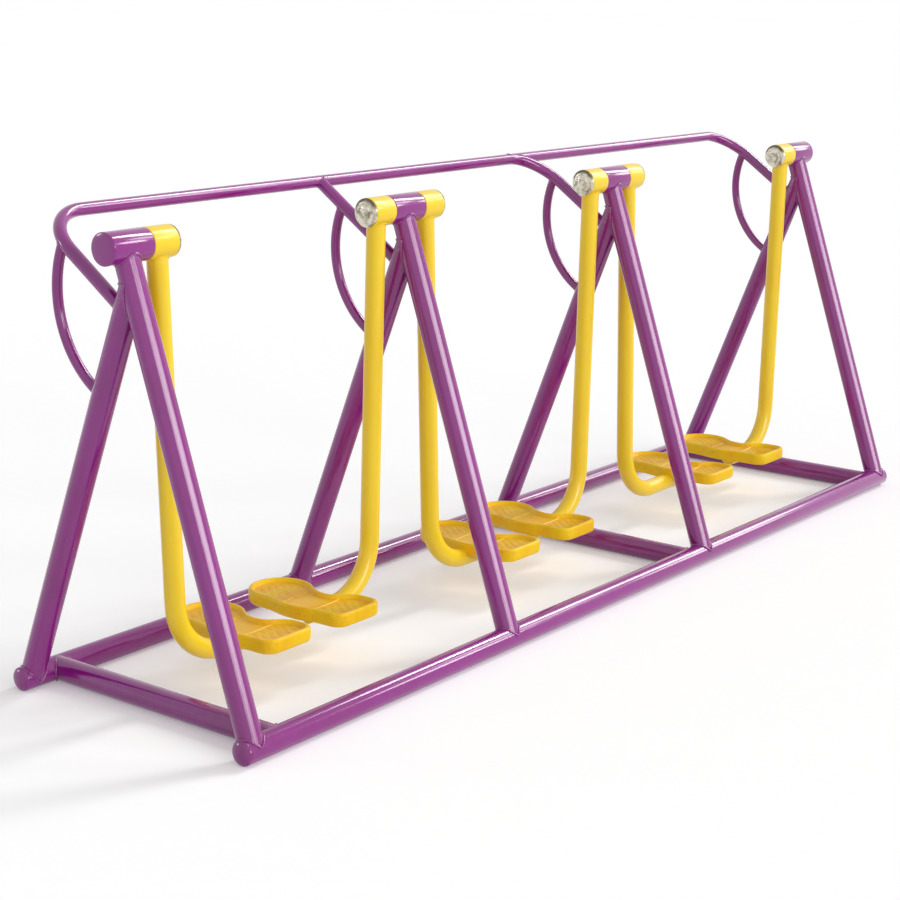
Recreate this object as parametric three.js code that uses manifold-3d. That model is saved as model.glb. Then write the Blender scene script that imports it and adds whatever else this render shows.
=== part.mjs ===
// Outdoor air walker with three stations side by side.
// Four leg frames stand on two ground rails and carry four hub tubes. Six arms hang from
// the hub shafts on bearings, and each arm carries one footplate.
// Millimetres, Z up. X runs along the machine, the users face +Y.
// The origin is on the ground, midway between the end frames and between the rails.
import * as THREE from "three";
import { mergeVertices } from "three/addons/utils/BufferGeometryUtils.js";
import Module from "manifold-3d";

const wasm = await Module();
wasm.setup();

// Bays and heights
const firstBay = 965;
const middleBay = 980;
const lastBay = 1155;
const railSpacing = 736;
const railOverhang = 30.5;
const hubHeight = 1117;
const rearLegTopDrop = 80;

// Steel tube sizes
const legRadius = 30.15;
const legWall = 3;
const legFootLift = 4;
const crossRadius = 30.15;
const crossWall = 3;
const crossOffset = 79;
const lastCrossOffset = 62;
const crossEndLift = 4;
const handrailRadius = 16;
const handrailWall = 2.5;
const braceRadius = 12.7;
const braceWall = 2.5;
const armRadius = 25;
const armWall = 3;

// Hub, shaft, bearing and cap nut
const hubRadius = 38;
const hubHalfLength = 60;
const hubWall = 4;
const hubWebThickness = 8;
const hubCapThickness = 4.5;
const hubCapRim = 1;
const hubCapRounding = 12;
const shaftRadius = 12.5;
const collarLength = 76;
const bearingRadius = 26;
const bearingLength = 66;
const bearingSealDepth = 2;
const bearingRaceThickness = 4;
const nutRadius = 37.5;
const nutRim = 3;
const nutDome = 9;
const nutBoreDepth = 8;
const shaftNutEngagement = 6;

// Handrail and braces
const handrailY = 280;
const handrailRise = 49;
const handrailBend = 128;
const handrailAttachDrop = 67;
const handrailJoinShare = 0.2;
const braceTopShare = 0.29;
const braceBottomDrop = 204;
const braceBow = 76;

// Swing arm
const armTilt = 0.034;
const armLean = 0.002;
const armBend = 150;
const armLowHeight = 112;
const armRunPastPlate = 26;

// Footplate
const firstFootSpacing = 254;
const middleFootSpacing = 275;
const lastFootSpacing = 334;
const firstStationShift = 5.5;
const middleStationShift = 10.5;
const lastStationShift = 60.5;
const plateShift = 17;
const plateHalfLength = 179;
const plateToeHalfWidth = 82;
const plateWaistLeft = 97;
const plateWaistRight = 36;
const plateHeelHalfWidth = 84;
const plateHeelCorner = 34;
const plateToeReach = 86;
const plateToeCentreY = 96;
const plateWaistY = -26;
const plateHeelY = -120;
const plateWall = 6;
const plateSkirtDepth = 19;
const plateLip = 11;
const plateDeckThickness = 6;
const plateDeckSeat = 3;

// Rail end caps
const railCapRim = 1;
const railCapDome = 10.5;
const railCapSpigotLength = 14;

// Fits between neighbouring pieces
const weldGap = 0.3;
const slipFit = 0.3;
const runningGap = 0.6;

// Facets round each kind of tube and along each bend
const legFacets = 16;
const slimFacets = 10;
const armFacets = 12;
const hubFacets = 16;
const capRings = 4;
const bendSteps = 4;
const braceSteps = 5;
const toeSteps = 8;
const sideSteps = 5;
const cornerSteps = 2;

// Places worked out from the driving sizes
const machineLength = firstBay + middleBay + lastBay;
const frameX = [
  -machineLength / 2,
  -machineLength / 2 + firstBay,
  machineLength / 2 - lastBay,
  machineLength / 2,
];
const railY = railSpacing / 2;
const railHeight = legRadius;
const rearLegTopHeight = hubHeight - rearLegTopDrop;
const handrailHeight = hubHeight + handrailRise;
const handrailAttachHeight = rearLegTopHeight - handrailAttachDrop;
const braceBottomHeight = handrailAttachHeight - braceBottomDrop;
const collarStart = hubHalfLength + runningGap;
const collarEnd = collarStart + collarLength;
const collarMiddle = (collarStart + collarEnd) / 2;
const nutStart = collarEnd + runningGap;

// Finishes
const purplePaint = new THREE.MeshStandardMaterial({
  name: "purple_paint", color: 0x84358a, roughness: 0.28, metalness: 0.1,
});
const yellowPaint = new THREE.MeshStandardMaterial({
  name: "yellow_paint", color: 0xe9bd1f, roughness: 0.38, metalness: 0.05,
});
const brightSteel = new THREE.MeshStandardMaterial({
  name: "bright_steel", color: 0xc9c5ba, roughness: 0.22, metalness: 1,
});
const shaftSteel = new THREE.MeshStandardMaterial({
  name: "shaft_steel", color: 0x8d8f92, roughness: 0.4, metalness: 1,
});
const bearingSteel = new THREE.MeshStandardMaterial({
  name: "bearing_steel", color: 0x9a9a9a, roughness: 0.35, metalness: 1,
});

/** Turn a closed three.js geometry into a solid that can be cut and joined. */
function toSolid(geometry) {
  const bare = geometry.clone();
  bare.deleteAttribute("normal");
  bare.deleteAttribute("uv");
  const merged = mergeVertices(bare, weldGap / 1000);
  const vertProperties = Float32Array.from(merged.attributes.position.array);
  const triVerts = Uint32Array.from(merged.index.array);
  return new wasm.Manifold(new wasm.Mesh({ numProp: 3, vertProperties, triVerts }));
}

/** Name a finished solid and give it a finish. */
function piece(name, solid, material) {
  const mesh = solid.getMesh();
  const geometry = new THREE.BufferGeometry();
  geometry.setAttribute("position", new THREE.BufferAttribute(mesh.vertProperties, 3));
  geometry.setIndex(new THREE.BufferAttribute(mesh.triVerts, 1));
  geometry.computeVertexNormals();
  const result = new THREE.Mesh(geometry, material);
  result.name = name;
  return result;
}

/** A route for a tube, given as stations that each hold a point and a direction. */
class TubeRoute extends THREE.Curve {
  constructor(stations) {
    super();
    this.stations = stations;
  }

  stationAt(share) {
    return this.stations[Math.round(share * (this.stations.length - 1))];
  }

  getPointAt(share, target = new THREE.Vector3()) {
    return target.copy(this.stationAt(share).point);
  }

  getTangentAt(share, target = new THREE.Vector3()) {
    return target.copy(this.stationAt(share).direction);
  }
}

/** Straight route between two points. */
function straightRoute(start, end) {
  const direction = end.clone().sub(start).normalize();
  return new TubeRoute([{ point: start, direction }, { point: end, direction }]);
}

/** Stations round one bend, which leaves the first line and joins the second one. */
function bendStations(corner, incoming, outgoing, radius, steps) {
  const turn = incoming.angleTo(outgoing);
  const setback = radius * Math.tan(turn / 2);
  const inward = outgoing.clone().addScaledVector(incoming, -Math.cos(turn)).normalize();
  const entry = corner.clone().addScaledVector(incoming, -setback);
  const stations = [];
  for (let step = 0; step <= steps; step += 1) {
    const angle = (turn * step) / steps;
    const point = entry.clone()
      .addScaledVector(incoming, radius * Math.sin(angle))
      .addScaledVector(inward, radius * (1 - Math.cos(angle)));
    const direction = incoming.clone().multiplyScalar(Math.cos(angle))
      .addScaledVector(inward, Math.sin(angle));
    stations.push({ point, direction });
  }
  return stations;
}

/** Route through a list of points, with the same bend radius at every inner point. */
function bentRoute(points, radius, steps) {
  const directions = [];
  for (let index = 1; index < points.length; index += 1) {
    directions.push(points[index].clone().sub(points[index - 1]).normalize());
  }
  const stations = [{ point: points[0], direction: directions[0] }];
  for (let index = 1; index < points.length - 1; index += 1) {
    stations.push(
      ...bendStations(points[index], directions[index - 1], directions[index], radius, steps),
    );
  }
  stations.push({ point: points[points.length - 1], direction: directions[directions.length - 1] });
  return new TubeRoute(stations);
}

/** Route along a circular arc from start to end, bowed out by the given height. */
function bowedRoute(start, end, outward, bow, steps) {
  const chord = end.clone().sub(start);
  const halfChord = chord.length() / 2;
  const radius = (halfChord ** 2 + bow ** 2) / (bow + bow);
  const along = chord.normalize();
  const out = outward.clone().addScaledVector(along, -outward.dot(along)).normalize();
  const centre = start.clone().add(end).multiplyScalar(1 / 2)
    .addScaledVector(out, bow - radius);
  const halfTurn = Math.asin(halfChord / radius);
  const stations = [];
  for (let step = 0; step <= steps; step += 1) {
    const angle = -halfTurn + ((halfTurn + halfTurn) * step) / steps;
    const point = centre.clone()
      .addScaledVector(along, radius * Math.sin(angle))
      .addScaledVector(out, radius * Math.cos(angle));
    const direction = along.clone().multiplyScalar(Math.cos(angle))
      .addScaledVector(out, -Math.sin(angle));
    stations.push({ point, direction });
  }
  return new TubeRoute(stations);
}

/** Points round a circle of the given number of facets. */
function circlePoints(radius, facets) {
  const points = [];
  for (let index = 0; index < facets; index += 1) {
    const angle = (index / facets) * Math.PI * 2;
    points.push(new THREE.Vector2(radius * Math.cos(angle), radius * Math.sin(angle)));
  }
  return points;
}

/** A round bar along a route, or a tube where a bore radius is given. */
function sweptRound(route, radius, facets, boreRadius = 0) {
  const section = new THREE.Shape(circlePoints(radius, facets));
  if (boreRadius > 0) {
    section.holes.push(new THREE.Path(circlePoints(boreRadius, facets)));
  }
  const geometry = new THREE.ExtrudeGeometry(section, {
    steps: route.stations.length - 1,
    extrudePath: route,
    bevelEnabled: false,
  });
  return toSolid(geometry);
}

/** A tube with the outer solids of its neighbours cut away, one weld gap off. */
function weldedTube(route, size, neighbours) {
  let tube = sweptRound(route, size.radius, size.facets, size.radius - size.wall);
  for (const neighbour of neighbours) {
    tube = tube.subtract(
      sweptRound(neighbour.route, neighbour.size.radius + weldGap, neighbour.size.facets),
    );
  }
  return tube;
}

/** Profile points of a dome: its foot at a place along the axis, with its foot and top radius. */
function domePoints(foot, height, footRadius, topRadius) {
  const points = [];
  for (let ring = 0; ring <= capRings; ring += 1) {
    const angle = (Math.PI / 2) * (ring / capRings);
    const spread = ring === capRings ? 0 : Math.cos(angle);
    points.push([
      foot + height * Math.sin(angle),
      topRadius + (footRadius - topRadius) * spread,
    ]);
  }
  return points;
}

/** A solid turned about the X axis from points that give place along X and radius. */
function turnedAboutX(profile, facets, centreX, direction = 1) {
  const points = profile.map(([along, radius]) => new THREE.Vector2(radius, along));
  const geometry = new THREE.LatheGeometry(points, facets);
  geometry.rotateZ(-Math.PI / 2);
  if (direction < 0) {
    geometry.rotateZ(Math.PI);
  }
  geometry.translate(centreX, 0, 0);
  return toSolid(geometry);
}

const legTube = { radius: legRadius, wall: legWall, facets: legFacets };
const crossTube = { radius: crossRadius, wall: crossWall, facets: legFacets };
const handrailTube = { radius: handrailRadius, wall: handrailWall, facets: slimFacets };
const braceTube = { radius: braceRadius, wall: braceWall, facets: slimFacets };
const hubBar = { radius: hubRadius, wall: hubWall, facets: hubFacets };

const group = new THREE.Group();
group.name = "outdoor_air_walker";

// Ground rails with their end caps
const railEndX = machineLength / 2 + railOverhang;
const rails = {};
for (const [side, sign] of [["front", -1], ["rear", 1]]) {
  const route = straightRoute(
    new THREE.Vector3(-railEndX, sign * railY, railHeight),
    new THREE.Vector3(railEndX, sign * railY, railHeight),
  );
  rails[side] = { route, size: legTube };
  group.add(piece(`${side}_ground_rail`, weldedTube(route, legTube, []), purplePaint));

  const spigotRadius = legRadius - legWall - slipFit;
  const capProfile = [
    [-railCapSpigotLength, 0],
    [-railCapSpigotLength, spigotRadius],
    [slipFit, spigotRadius],
    [slipFit, legRadius],
    ...domePoints(slipFit + railCapRim, railCapDome, legRadius, 0),
  ];
  for (const [end, direction] of [["left", -1], ["right", 1]]) {
    const cap = turnedAboutX(capProfile, legFacets, direction * railEndX, direction)
      .translate([0, sign * railY, railHeight]);
    group.add(piece(`${side}_rail_${end}_cap`, cap, purplePaint));
  }
}

// Cross tubes on the ground, beside the feet of frames 1, 3 and 4
for (const [frame, offset] of [[1, crossOffset], [3, -crossOffset], [4, -lastCrossOffset]]) {
  const x = frameX[frame - 1] + offset;
  const endY = railY - crossEndLift;
  const route = straightRoute(
    new THREE.Vector3(x, -endY, railHeight),
    new THREE.Vector3(x, endY, railHeight),
  );
  const tube = weldedTube(route, crossTube, [rails.front, rails.rear]);
  group.add(piece(`cross_tube_${frame}`, tube, purplePaint));
}

// Leg frames: the front leg runs up to the hub, the rear leg butts against the front leg
const frames = frameX.map((x) => {
  const hubCentre = new THREE.Vector3(x, 0, hubHeight);
  const frontFoot = new THREE.Vector3(x, -railY, railHeight);
  const rearFoot = new THREE.Vector3(x, railY, railHeight);
  const rearTopShare = (hubHeight - rearLegTopHeight) / (hubHeight - railHeight);
  const rearTop = hubCentre.clone().lerp(frontFoot, rearTopShare);
  const attachShare = (rearLegTopHeight - handrailAttachHeight) / (rearLegTopHeight - railHeight);
  const braceShare = (rearLegTopHeight - braceBottomHeight) / (rearLegTopHeight - railHeight);
  const frontEnd = frontFoot.clone().lerp(hubCentre, legFootLift / frontFoot.distanceTo(hubCentre));
  const rearEnd = rearFoot.clone().lerp(rearTop, legFootLift / rearFoot.distanceTo(rearTop));
  return {
    x,
    hub: {
      route: straightRoute(
        new THREE.Vector3(x - hubHalfLength, 0, hubHeight),
        new THREE.Vector3(x + hubHalfLength, 0, hubHeight),
      ),
      size: hubBar,
    },
    frontLeg: { route: straightRoute(frontEnd, hubCentre), size: legTube },
    rearLeg: { route: straightRoute(rearEnd, rearTop), size: legTube },
    railCorner: new THREE.Vector3(x, handrailY, handrailHeight),
    railAttach: rearTop.clone().lerp(rearFoot, attachShare),
    braceBottom: rearTop.clone().lerp(rearFoot, braceShare),
  };
});

frames.forEach((frame, index) => {
  const number = index + 1;
  const frontLeg = weldedTube(frame.frontLeg.route, legTube, [rails.front, frame.hub]);
  group.add(piece(`front_leg_${number}`, frontLeg, purplePaint));
  const rearLeg = weldedTube(frame.rearLeg.route, legTube, [rails.rear, frame.frontLeg]);
  group.add(piece(`rear_leg_${number}`, rearLeg, purplePaint));
});

// Handrail: the left tube comes down at frame 3, the right tube butts against its bend
const handrailLeft = {
  route: bentRoute(
    [frames[0].railAttach, frames[0].railCorner, frames[2].railCorner, frames[2].railAttach],
    handrailBend,
    bendSteps,
  ),
  size: handrailTube,
};
const rightStart = frames[2].railCorner.clone()
  .add(new THREE.Vector3(-handrailBend + handrailBend * handrailJoinShare, 0, 0));
const handrailRight = {
  route: bentRoute(
    [rightStart, frames[3].railCorner, frames[3].railAttach],
    handrailBend,
    bendSteps,
  ),
  size: handrailTube,
};
const middleArm = {
  route: straightRoute(frames[1].railAttach, frames[1].railCorner),
  size: handrailTube,
};
group.add(piece(
  "handrail_left",
  weldedTube(handrailLeft.route, handrailTube, [frames[0].rearLeg, frames[2].rearLeg]),
  purplePaint,
));
group.add(piece(
  "handrail_right",
  weldedTube(handrailRight.route, handrailTube, [handrailLeft, frames[3].rearLeg]),
  purplePaint,
));
group.add(piece(
  "handrail_arm_2",
  weldedTube(middleArm.route, handrailTube, [frames[1].rearLeg, handrailLeft]),
  purplePaint,
));

// Curved braces between each handrail arm and its rear leg
frames.forEach((frame, index) => {
  const top = frame.railCorner.clone().lerp(frame.railAttach, braceTopShare);
  const route = bowedRoute(
    top, frame.braceBottom, new THREE.Vector3(0, 1, 0), braceBow, braceSteps,
  );
  const upper = [handrailLeft, middleArm, handrailLeft, handrailRight][index];
  const brace = weldedTube(route, braceTube, [upper, frame.rearLeg]);
  group.add(piece(`curved_brace_${index + 1}`, brace, purplePaint));
});

// Hubs with the fixed shafts that their arms turn on
const hubBore = hubRadius - hubWall;
const webBore = shaftRadius + slipFit;
const hubProfile = [
  [-hubHalfLength, webBore],
  [-hubHalfLength, hubRadius],
  [hubHalfLength, hubRadius],
  [hubHalfLength, webBore],
  [hubHalfLength - hubWebThickness, webBore],
  [hubHalfLength - hubWebThickness, hubBore],
  [-hubHalfLength + hubWebThickness, hubBore],
  [-hubHalfLength + hubWebThickness, webBore],
  [-hubHalfLength, webBore],
];
const shaftReach = nutStart + shaftNutEngagement;
const hubSides = [[1], [-1, 1], [-1, 1], [-1]];
frames.forEach((frame, index) => {
  const number = index + 1;
  const hub = turnedAboutX(hubProfile, hubFacets, frame.x).translate([0, 0, hubHeight]);
  group.add(piece(`hub_${number}`, hub, purplePaint));

  const shaftStart = hubSides[index].includes(-1) ? -shaftReach : -hubHalfLength;
  const shaftEnd = hubSides[index].includes(1) ? shaftReach : hubHalfLength;
  const shaftProfile = [
    [shaftStart, 0],
    [shaftStart, shaftRadius],
    [shaftEnd, shaftRadius],
    [shaftEnd, 0],
  ];
  const shaft = turnedAboutX(shaftProfile, slimFacets, frame.x).translate([0, 0, hubHeight]);
  group.add(piece(`hub_shaft_${number}`, shaft, shaftSteel));
});

// Closed ends of the two outer hubs
const hubCapProfile = [
  [slipFit, 0],
  [slipFit, hubRadius],
  ...domePoints(hubCapRim, hubCapThickness - hubCapRim, hubRadius, hubRadius - hubCapRounding),
  [hubCapThickness, 0],
];
for (const [end, frame, direction] of [["left", frames[0], -1], ["right", frames[3], 1]]) {
  const cap = turnedAboutX(
    hubCapProfile, hubFacets, frame.x + direction * hubHalfLength, direction,
  ).translate([0, 0, hubHeight]);
  group.add(piece(`${end}_hub_end_cap`, cap, purplePaint));
}

/** Right side of a footplate outline with the given waist, from the toe to the heel's end. */
function plateSide(waistWidth, inset) {
  const toe = plateToeHalfWidth - inset;
  const waist = waistWidth - inset;
  const heel = plateHeelHalfWidth - inset;
  const heelEnd = -plateHalfLength + inset;
  const corner = plateHeelCorner - inset / 2;
  const lowerMiddle = (plateWaistY + plateHeelY) / 2;
  const upperMiddle = (plateWaistY + plateToeCentreY) / 2;
  const upper = new THREE.CubicBezierCurve(
    new THREE.Vector2(toe, plateToeCentreY),
    new THREE.Vector2(toe, upperMiddle),
    new THREE.Vector2(waist, upperMiddle),
    new THREE.Vector2(waist, plateWaistY),
  ).getPoints(sideSteps);
  const lower = new THREE.CubicBezierCurve(
    new THREE.Vector2(waist, plateWaistY),
    new THREE.Vector2(waist, lowerMiddle),
    new THREE.Vector2(heel, lowerMiddle),
    new THREE.Vector2(heel, plateHeelY),
  ).getPoints(sideSteps);
  const side = [...upper.slice(1), ...lower.slice(1)];
  for (let step = 0; step <= cornerSteps; step += 1) {
    const angle = (Math.PI / 2) * (step / cornerSteps);
    side.push(new THREE.Vector2(
      heel - corner + corner * Math.cos(angle),
      heelEnd + corner - corner * Math.sin(angle),
    ));
  }
  return side;
}

/** Outline of the footplate, drawn in from its edge by the given amount. */
function plateOutline(inset) {
  const shape = new THREE.Shape();
  const points = [];
  for (let step = 0; step <= toeSteps; step += 1) {
    const angle = (Math.PI * step) / toeSteps;
    points.push(new THREE.Vector2(
      (plateToeHalfWidth - inset) * Math.cos(angle),
      plateToeCentreY + (plateToeReach - inset) * Math.sin(angle),
    ));
  }
  const leftSide = plateSide(plateWaistLeft, inset)
    .map((point) => new THREE.Vector2(-point.x, point.y));
  const rightSide = plateSide(plateWaistRight, inset).reverse();
  points.push(...leftSide, ...rightSide);
  shape.setFromPoints(points);
  return shape;
}

/** A flat slab with the footplate outline between two heights. */
function plateSlab(inset, bottom, top) {
  const geometry = new THREE.ExtrudeGeometry(plateOutline(inset), {
    depth: top - bottom, bevelEnabled: false,
  });
  geometry.translate(0, 0, bottom);
  return toSolid(geometry);
}

const deckBottom = armLowHeight + armRadius + plateDeckSeat;
const deckTop = deckBottom + plateDeckThickness;
const plateTop = deckTop + plateLip;
const plateBottom = deckBottom - plateSkirtDepth;

// Collar, bearing and cap nut, turned about the hub axis
const collarProfile = [
  [collarStart, bearingRadius],
  [collarStart, hubRadius],
  [collarEnd, hubRadius],
  [collarEnd, bearingRadius],
  [collarStart, bearingRadius],
];
const collarCoreProfile = [
  [collarStart, 0],
  [collarStart, hubRadius - weldGap],
  [collarEnd, hubRadius - weldGap],
  [collarEnd, 0],
];
const bearingStart = collarMiddle - bearingLength / 2;
const bearingEnd = collarMiddle + bearingLength / 2;
const bearingBore = shaftRadius + slipFit;
const bearingOuter = bearingRadius - slipFit;
const bearingProfile = [
  [bearingStart, bearingBore],
  [bearingStart, bearingBore + bearingRaceThickness],
  [bearingStart + bearingSealDepth, bearingBore + bearingRaceThickness],
  [bearingStart + bearingSealDepth, bearingOuter - bearingRaceThickness],
  [bearingStart, bearingOuter - bearingRaceThickness],
  [bearingStart, bearingOuter],
  [bearingEnd, bearingOuter],
  [bearingEnd, bearingBore],
  [bearingStart, bearingBore],
];
const nutBoreEnd = nutStart + nutBoreDepth;
const nutProfile = [
  [nutBoreEnd, 0],
  [nutBoreEnd, shaftRadius + slipFit],
  [nutStart, shaftRadius + slipFit],
  [nutStart, nutRadius],
  ...domePoints(nutStart + nutRim, nutDome, nutRadius, 0),
];

// Where the user of each station stands
const stations = [
  { shift: firstStationShift, footSpacing: firstFootSpacing },
  { shift: middleStationShift, footSpacing: middleFootSpacing },
  { shift: lastStationShift, footSpacing: lastFootSpacing },
];

// Swing arms, one on each side of every station
const swings = [
  { name: "1_left", frame: 0, station: 0, inward: 1 },
  { name: "1_right", frame: 1, station: 0, inward: -1 },
  { name: "2_left", frame: 1, station: 1, inward: 1 },
  { name: "2_right", frame: 2, station: 1, inward: -1 },
  { name: "3_left", frame: 2, station: 2, inward: 1 },
  { name: "3_right", frame: 3, station: 2, inward: -1 },
];
for (const { name, frame, station, inward } of swings) {
  const { x } = frames[frame];
  const top = new THREE.Vector3(x + inward * collarMiddle, 0, hubHeight);
  const drop = hubHeight - armLowHeight;
  const footY = -armLean * drop;
  const corner = new THREE.Vector3(top.x + inward * armTilt * drop, footY, armLowHeight);
  const { shift, footSpacing } = stations[station];
  const middle = (frameX[station] + frameX[station + 1]) / 2 + shift;
  const plateX = middle - (inward * footSpacing) / 2;
  const end = new THREE.Vector3(plateX + inward * armRunPastPlate, footY, armLowHeight);
  const route = bentRoute([top, corner, end], armBend, bendSteps);

  const arm = sweptRound(route, armRadius, armFacets, armRadius - armWall)
    .subtract(turnedAboutX(collarCoreProfile, hubFacets, x, inward).translate([0, 0, hubHeight]))
    .add(turnedAboutX(collarProfile, hubFacets, x, inward).translate([0, 0, hubHeight]));
  group.add(piece(`swing_arm_${name}`, arm, yellowPaint));

  const plate = plateSlab(0, plateBottom, plateTop)
    .subtract(plateSlab(plateWall, deckTop, plateTop + plateLip))
    .subtract(plateSlab(plateWall, plateBottom - plateLip, deckBottom))
    .translate([plateX, footY + plateShift, 0])
    .subtract(sweptRound(route, armRadius + weldGap, armFacets));
  group.add(piece(`footplate_${name}`, plate, yellowPaint));

  const bearing = turnedAboutX(bearingProfile, hubFacets, x, inward)
    .translate([0, 0, hubHeight]);
  group.add(piece(`bearing_${name}`, bearing, bearingSteel));
  const nut = turnedAboutX(nutProfile, hubFacets, x, inward).translate([0, 0, hubHeight]);
  group.add(piece(`cap_nut_${name}`, nut, brightSteel));
}

export default group;
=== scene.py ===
"""Looks of the outdoor air walker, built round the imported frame.

All lengths are in metres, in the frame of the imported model. X runs along the machine,
the users face +Y, Z is up, and the ground is at zero. Each class below builds one
sub-assembly, dresses it and hangs it on its body.
"""
import logging
import math
from collections.abc import Iterable, Sequence
from dataclasses import dataclass, field
from enum import Enum
from functools import cached_property, partial, reduce
from typing import ClassVar

import bmesh
import bpy
import numpy as np
from mathutils import Matrix, Vector


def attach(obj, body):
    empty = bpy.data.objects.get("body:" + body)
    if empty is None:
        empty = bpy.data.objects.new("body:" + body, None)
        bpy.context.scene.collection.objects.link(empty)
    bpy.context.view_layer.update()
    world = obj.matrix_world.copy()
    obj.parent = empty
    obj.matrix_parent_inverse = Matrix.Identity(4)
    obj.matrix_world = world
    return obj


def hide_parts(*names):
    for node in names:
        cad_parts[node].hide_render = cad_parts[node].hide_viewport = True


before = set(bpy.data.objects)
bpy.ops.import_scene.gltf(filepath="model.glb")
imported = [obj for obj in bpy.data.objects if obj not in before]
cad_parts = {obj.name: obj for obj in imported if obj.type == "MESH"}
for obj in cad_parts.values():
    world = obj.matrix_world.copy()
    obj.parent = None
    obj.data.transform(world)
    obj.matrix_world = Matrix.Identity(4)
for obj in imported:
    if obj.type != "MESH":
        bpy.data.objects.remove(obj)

LOG = logging.getLogger("air_walker")
PICTURE_SIDE = 900
SLIDE_REACH = 0.22
SLIDE_STEPS = 120
HALVINGS = 14
AXIS_RADIUS = 1e-7
FRAME_COUNT = 4
STATION_COUNT = 3
FRAME_BEAD = 0.0038
HANDRAIL_BEAD = 0.0015
SMOOTH_TURN_DEGREES = 38.0


class End(Enum):
    """The two ends of the machine, as the sign of X on the outer side."""

    LEFT = -1
    RIGHT = 1


class RailSide(Enum):
    """The two ground rails, as the sign of Y."""

    FRONT = -1
    REAR = 1


@dataclass(frozen=True)
class Machine:
    """Sizes of the whole machine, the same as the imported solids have."""

    bays: tuple[float, float, float] = (0.965, 0.980, 1.155)
    rail_y: float = 0.368
    rail_overhang: float = 0.0305
    hub_height: float = 1.117
    rear_leg_top: float = 1.037
    leg_radius: float = 0.03015
    cross_radius: float = 0.03015
    cross_offset: float = 0.079
    last_cross_offset: float = 0.062
    handrail_radius: float = 0.016
    brace_radius: float = 0.0127
    arm_radius: float = 0.025
    hub_radius: float = 0.038
    hub_half_length: float = 0.060
    collar_start: float = 0.0606
    collar_end: float = 0.1366
    nut_start: float = 0.1372
    nut_radius: float = 0.0375
    handrail_y: float = 0.280
    handrail_height: float = 1.166
    handrail_bend: float = 0.128
    handrail_attach: float = 0.970
    handrail_join: float = 0.2
    brace_top: float = 0.29
    brace_bottom: float = 0.766
    brace_bow: float = 0.076
    arm_tilt: float = 0.034
    arm_lean: float = 0.002
    arm_bend: float = 0.150
    arm_low: float = 0.112
    arm_run: float = 0.026
    plate_shift: float = 0.017
    foot_spacings: tuple[float, float, float] = (0.254, 0.275, 0.334)
    station_shifts: tuple[float, float, float] = (0.0055, 0.0105, 0.0605)

    def frame_x(self, index: int) -> float:
        """Place along X of a leg frame, counted from 0 at the left."""
        return -sum(self.bays) / 2 + sum(self.bays[:index])

    def hub_centre(self, index: int) -> np.ndarray:
        """Middle of a hub tube."""
        return np.array([self.frame_x(index), 0.0, self.hub_height])

    def foot(self, index: int, side: RailSide) -> np.ndarray:
        """Point where a leg's centre line meets the centre line of its rail."""
        return np.array([self.frame_x(index), side.value * self.rail_y, self.leg_radius])

    def rear_top(self, index: int) -> np.ndarray:
        """Point on the front leg's centre line where the rear leg's line ends.

        Args:
            index: Number of the leg frame.

        Returns:
            The point.
        """
        share = (self.hub_height - self.rear_leg_top) / (self.hub_height - self.leg_radius)
        hub = self.hub_centre(index)
        return hub + (self.foot(index, RailSide.FRONT) - hub) * share

    def on_rear_leg(self, index: int, height: float) -> np.ndarray:
        """Point on a rear leg's centre line at the given height.

        Args:
            index: Number of the leg frame.
            height: Height of the point.

        Returns:
            The point.
        """
        top = self.rear_top(index)
        share = (self.rear_leg_top - height) / (self.rear_leg_top - self.leg_radius)
        return top + (self.foot(index, RailSide.REAR) - top) * share

    def plate_x(self, station: int, way: int) -> float:
        """Place along X of the middle of a footplate.

        Args:
            station: Number of the station, counted from 0 at the left.
            way: Plus one for the plate of the left arm, minus one for that of the right arm.

        Returns:
            The place along X.
        """
        middle = (self.frame_x(station) + self.frame_x(station + 1)) / 2
        middle += self.station_shifts[station]
        return middle - way * self.foot_spacings[station] / 2

    def rail_corner(self, index: int) -> np.ndarray:
        """Point where a handrail arm's line meets the line of the bar."""
        return np.array([self.frame_x(index), self.handrail_y, self.handrail_height])


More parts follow.
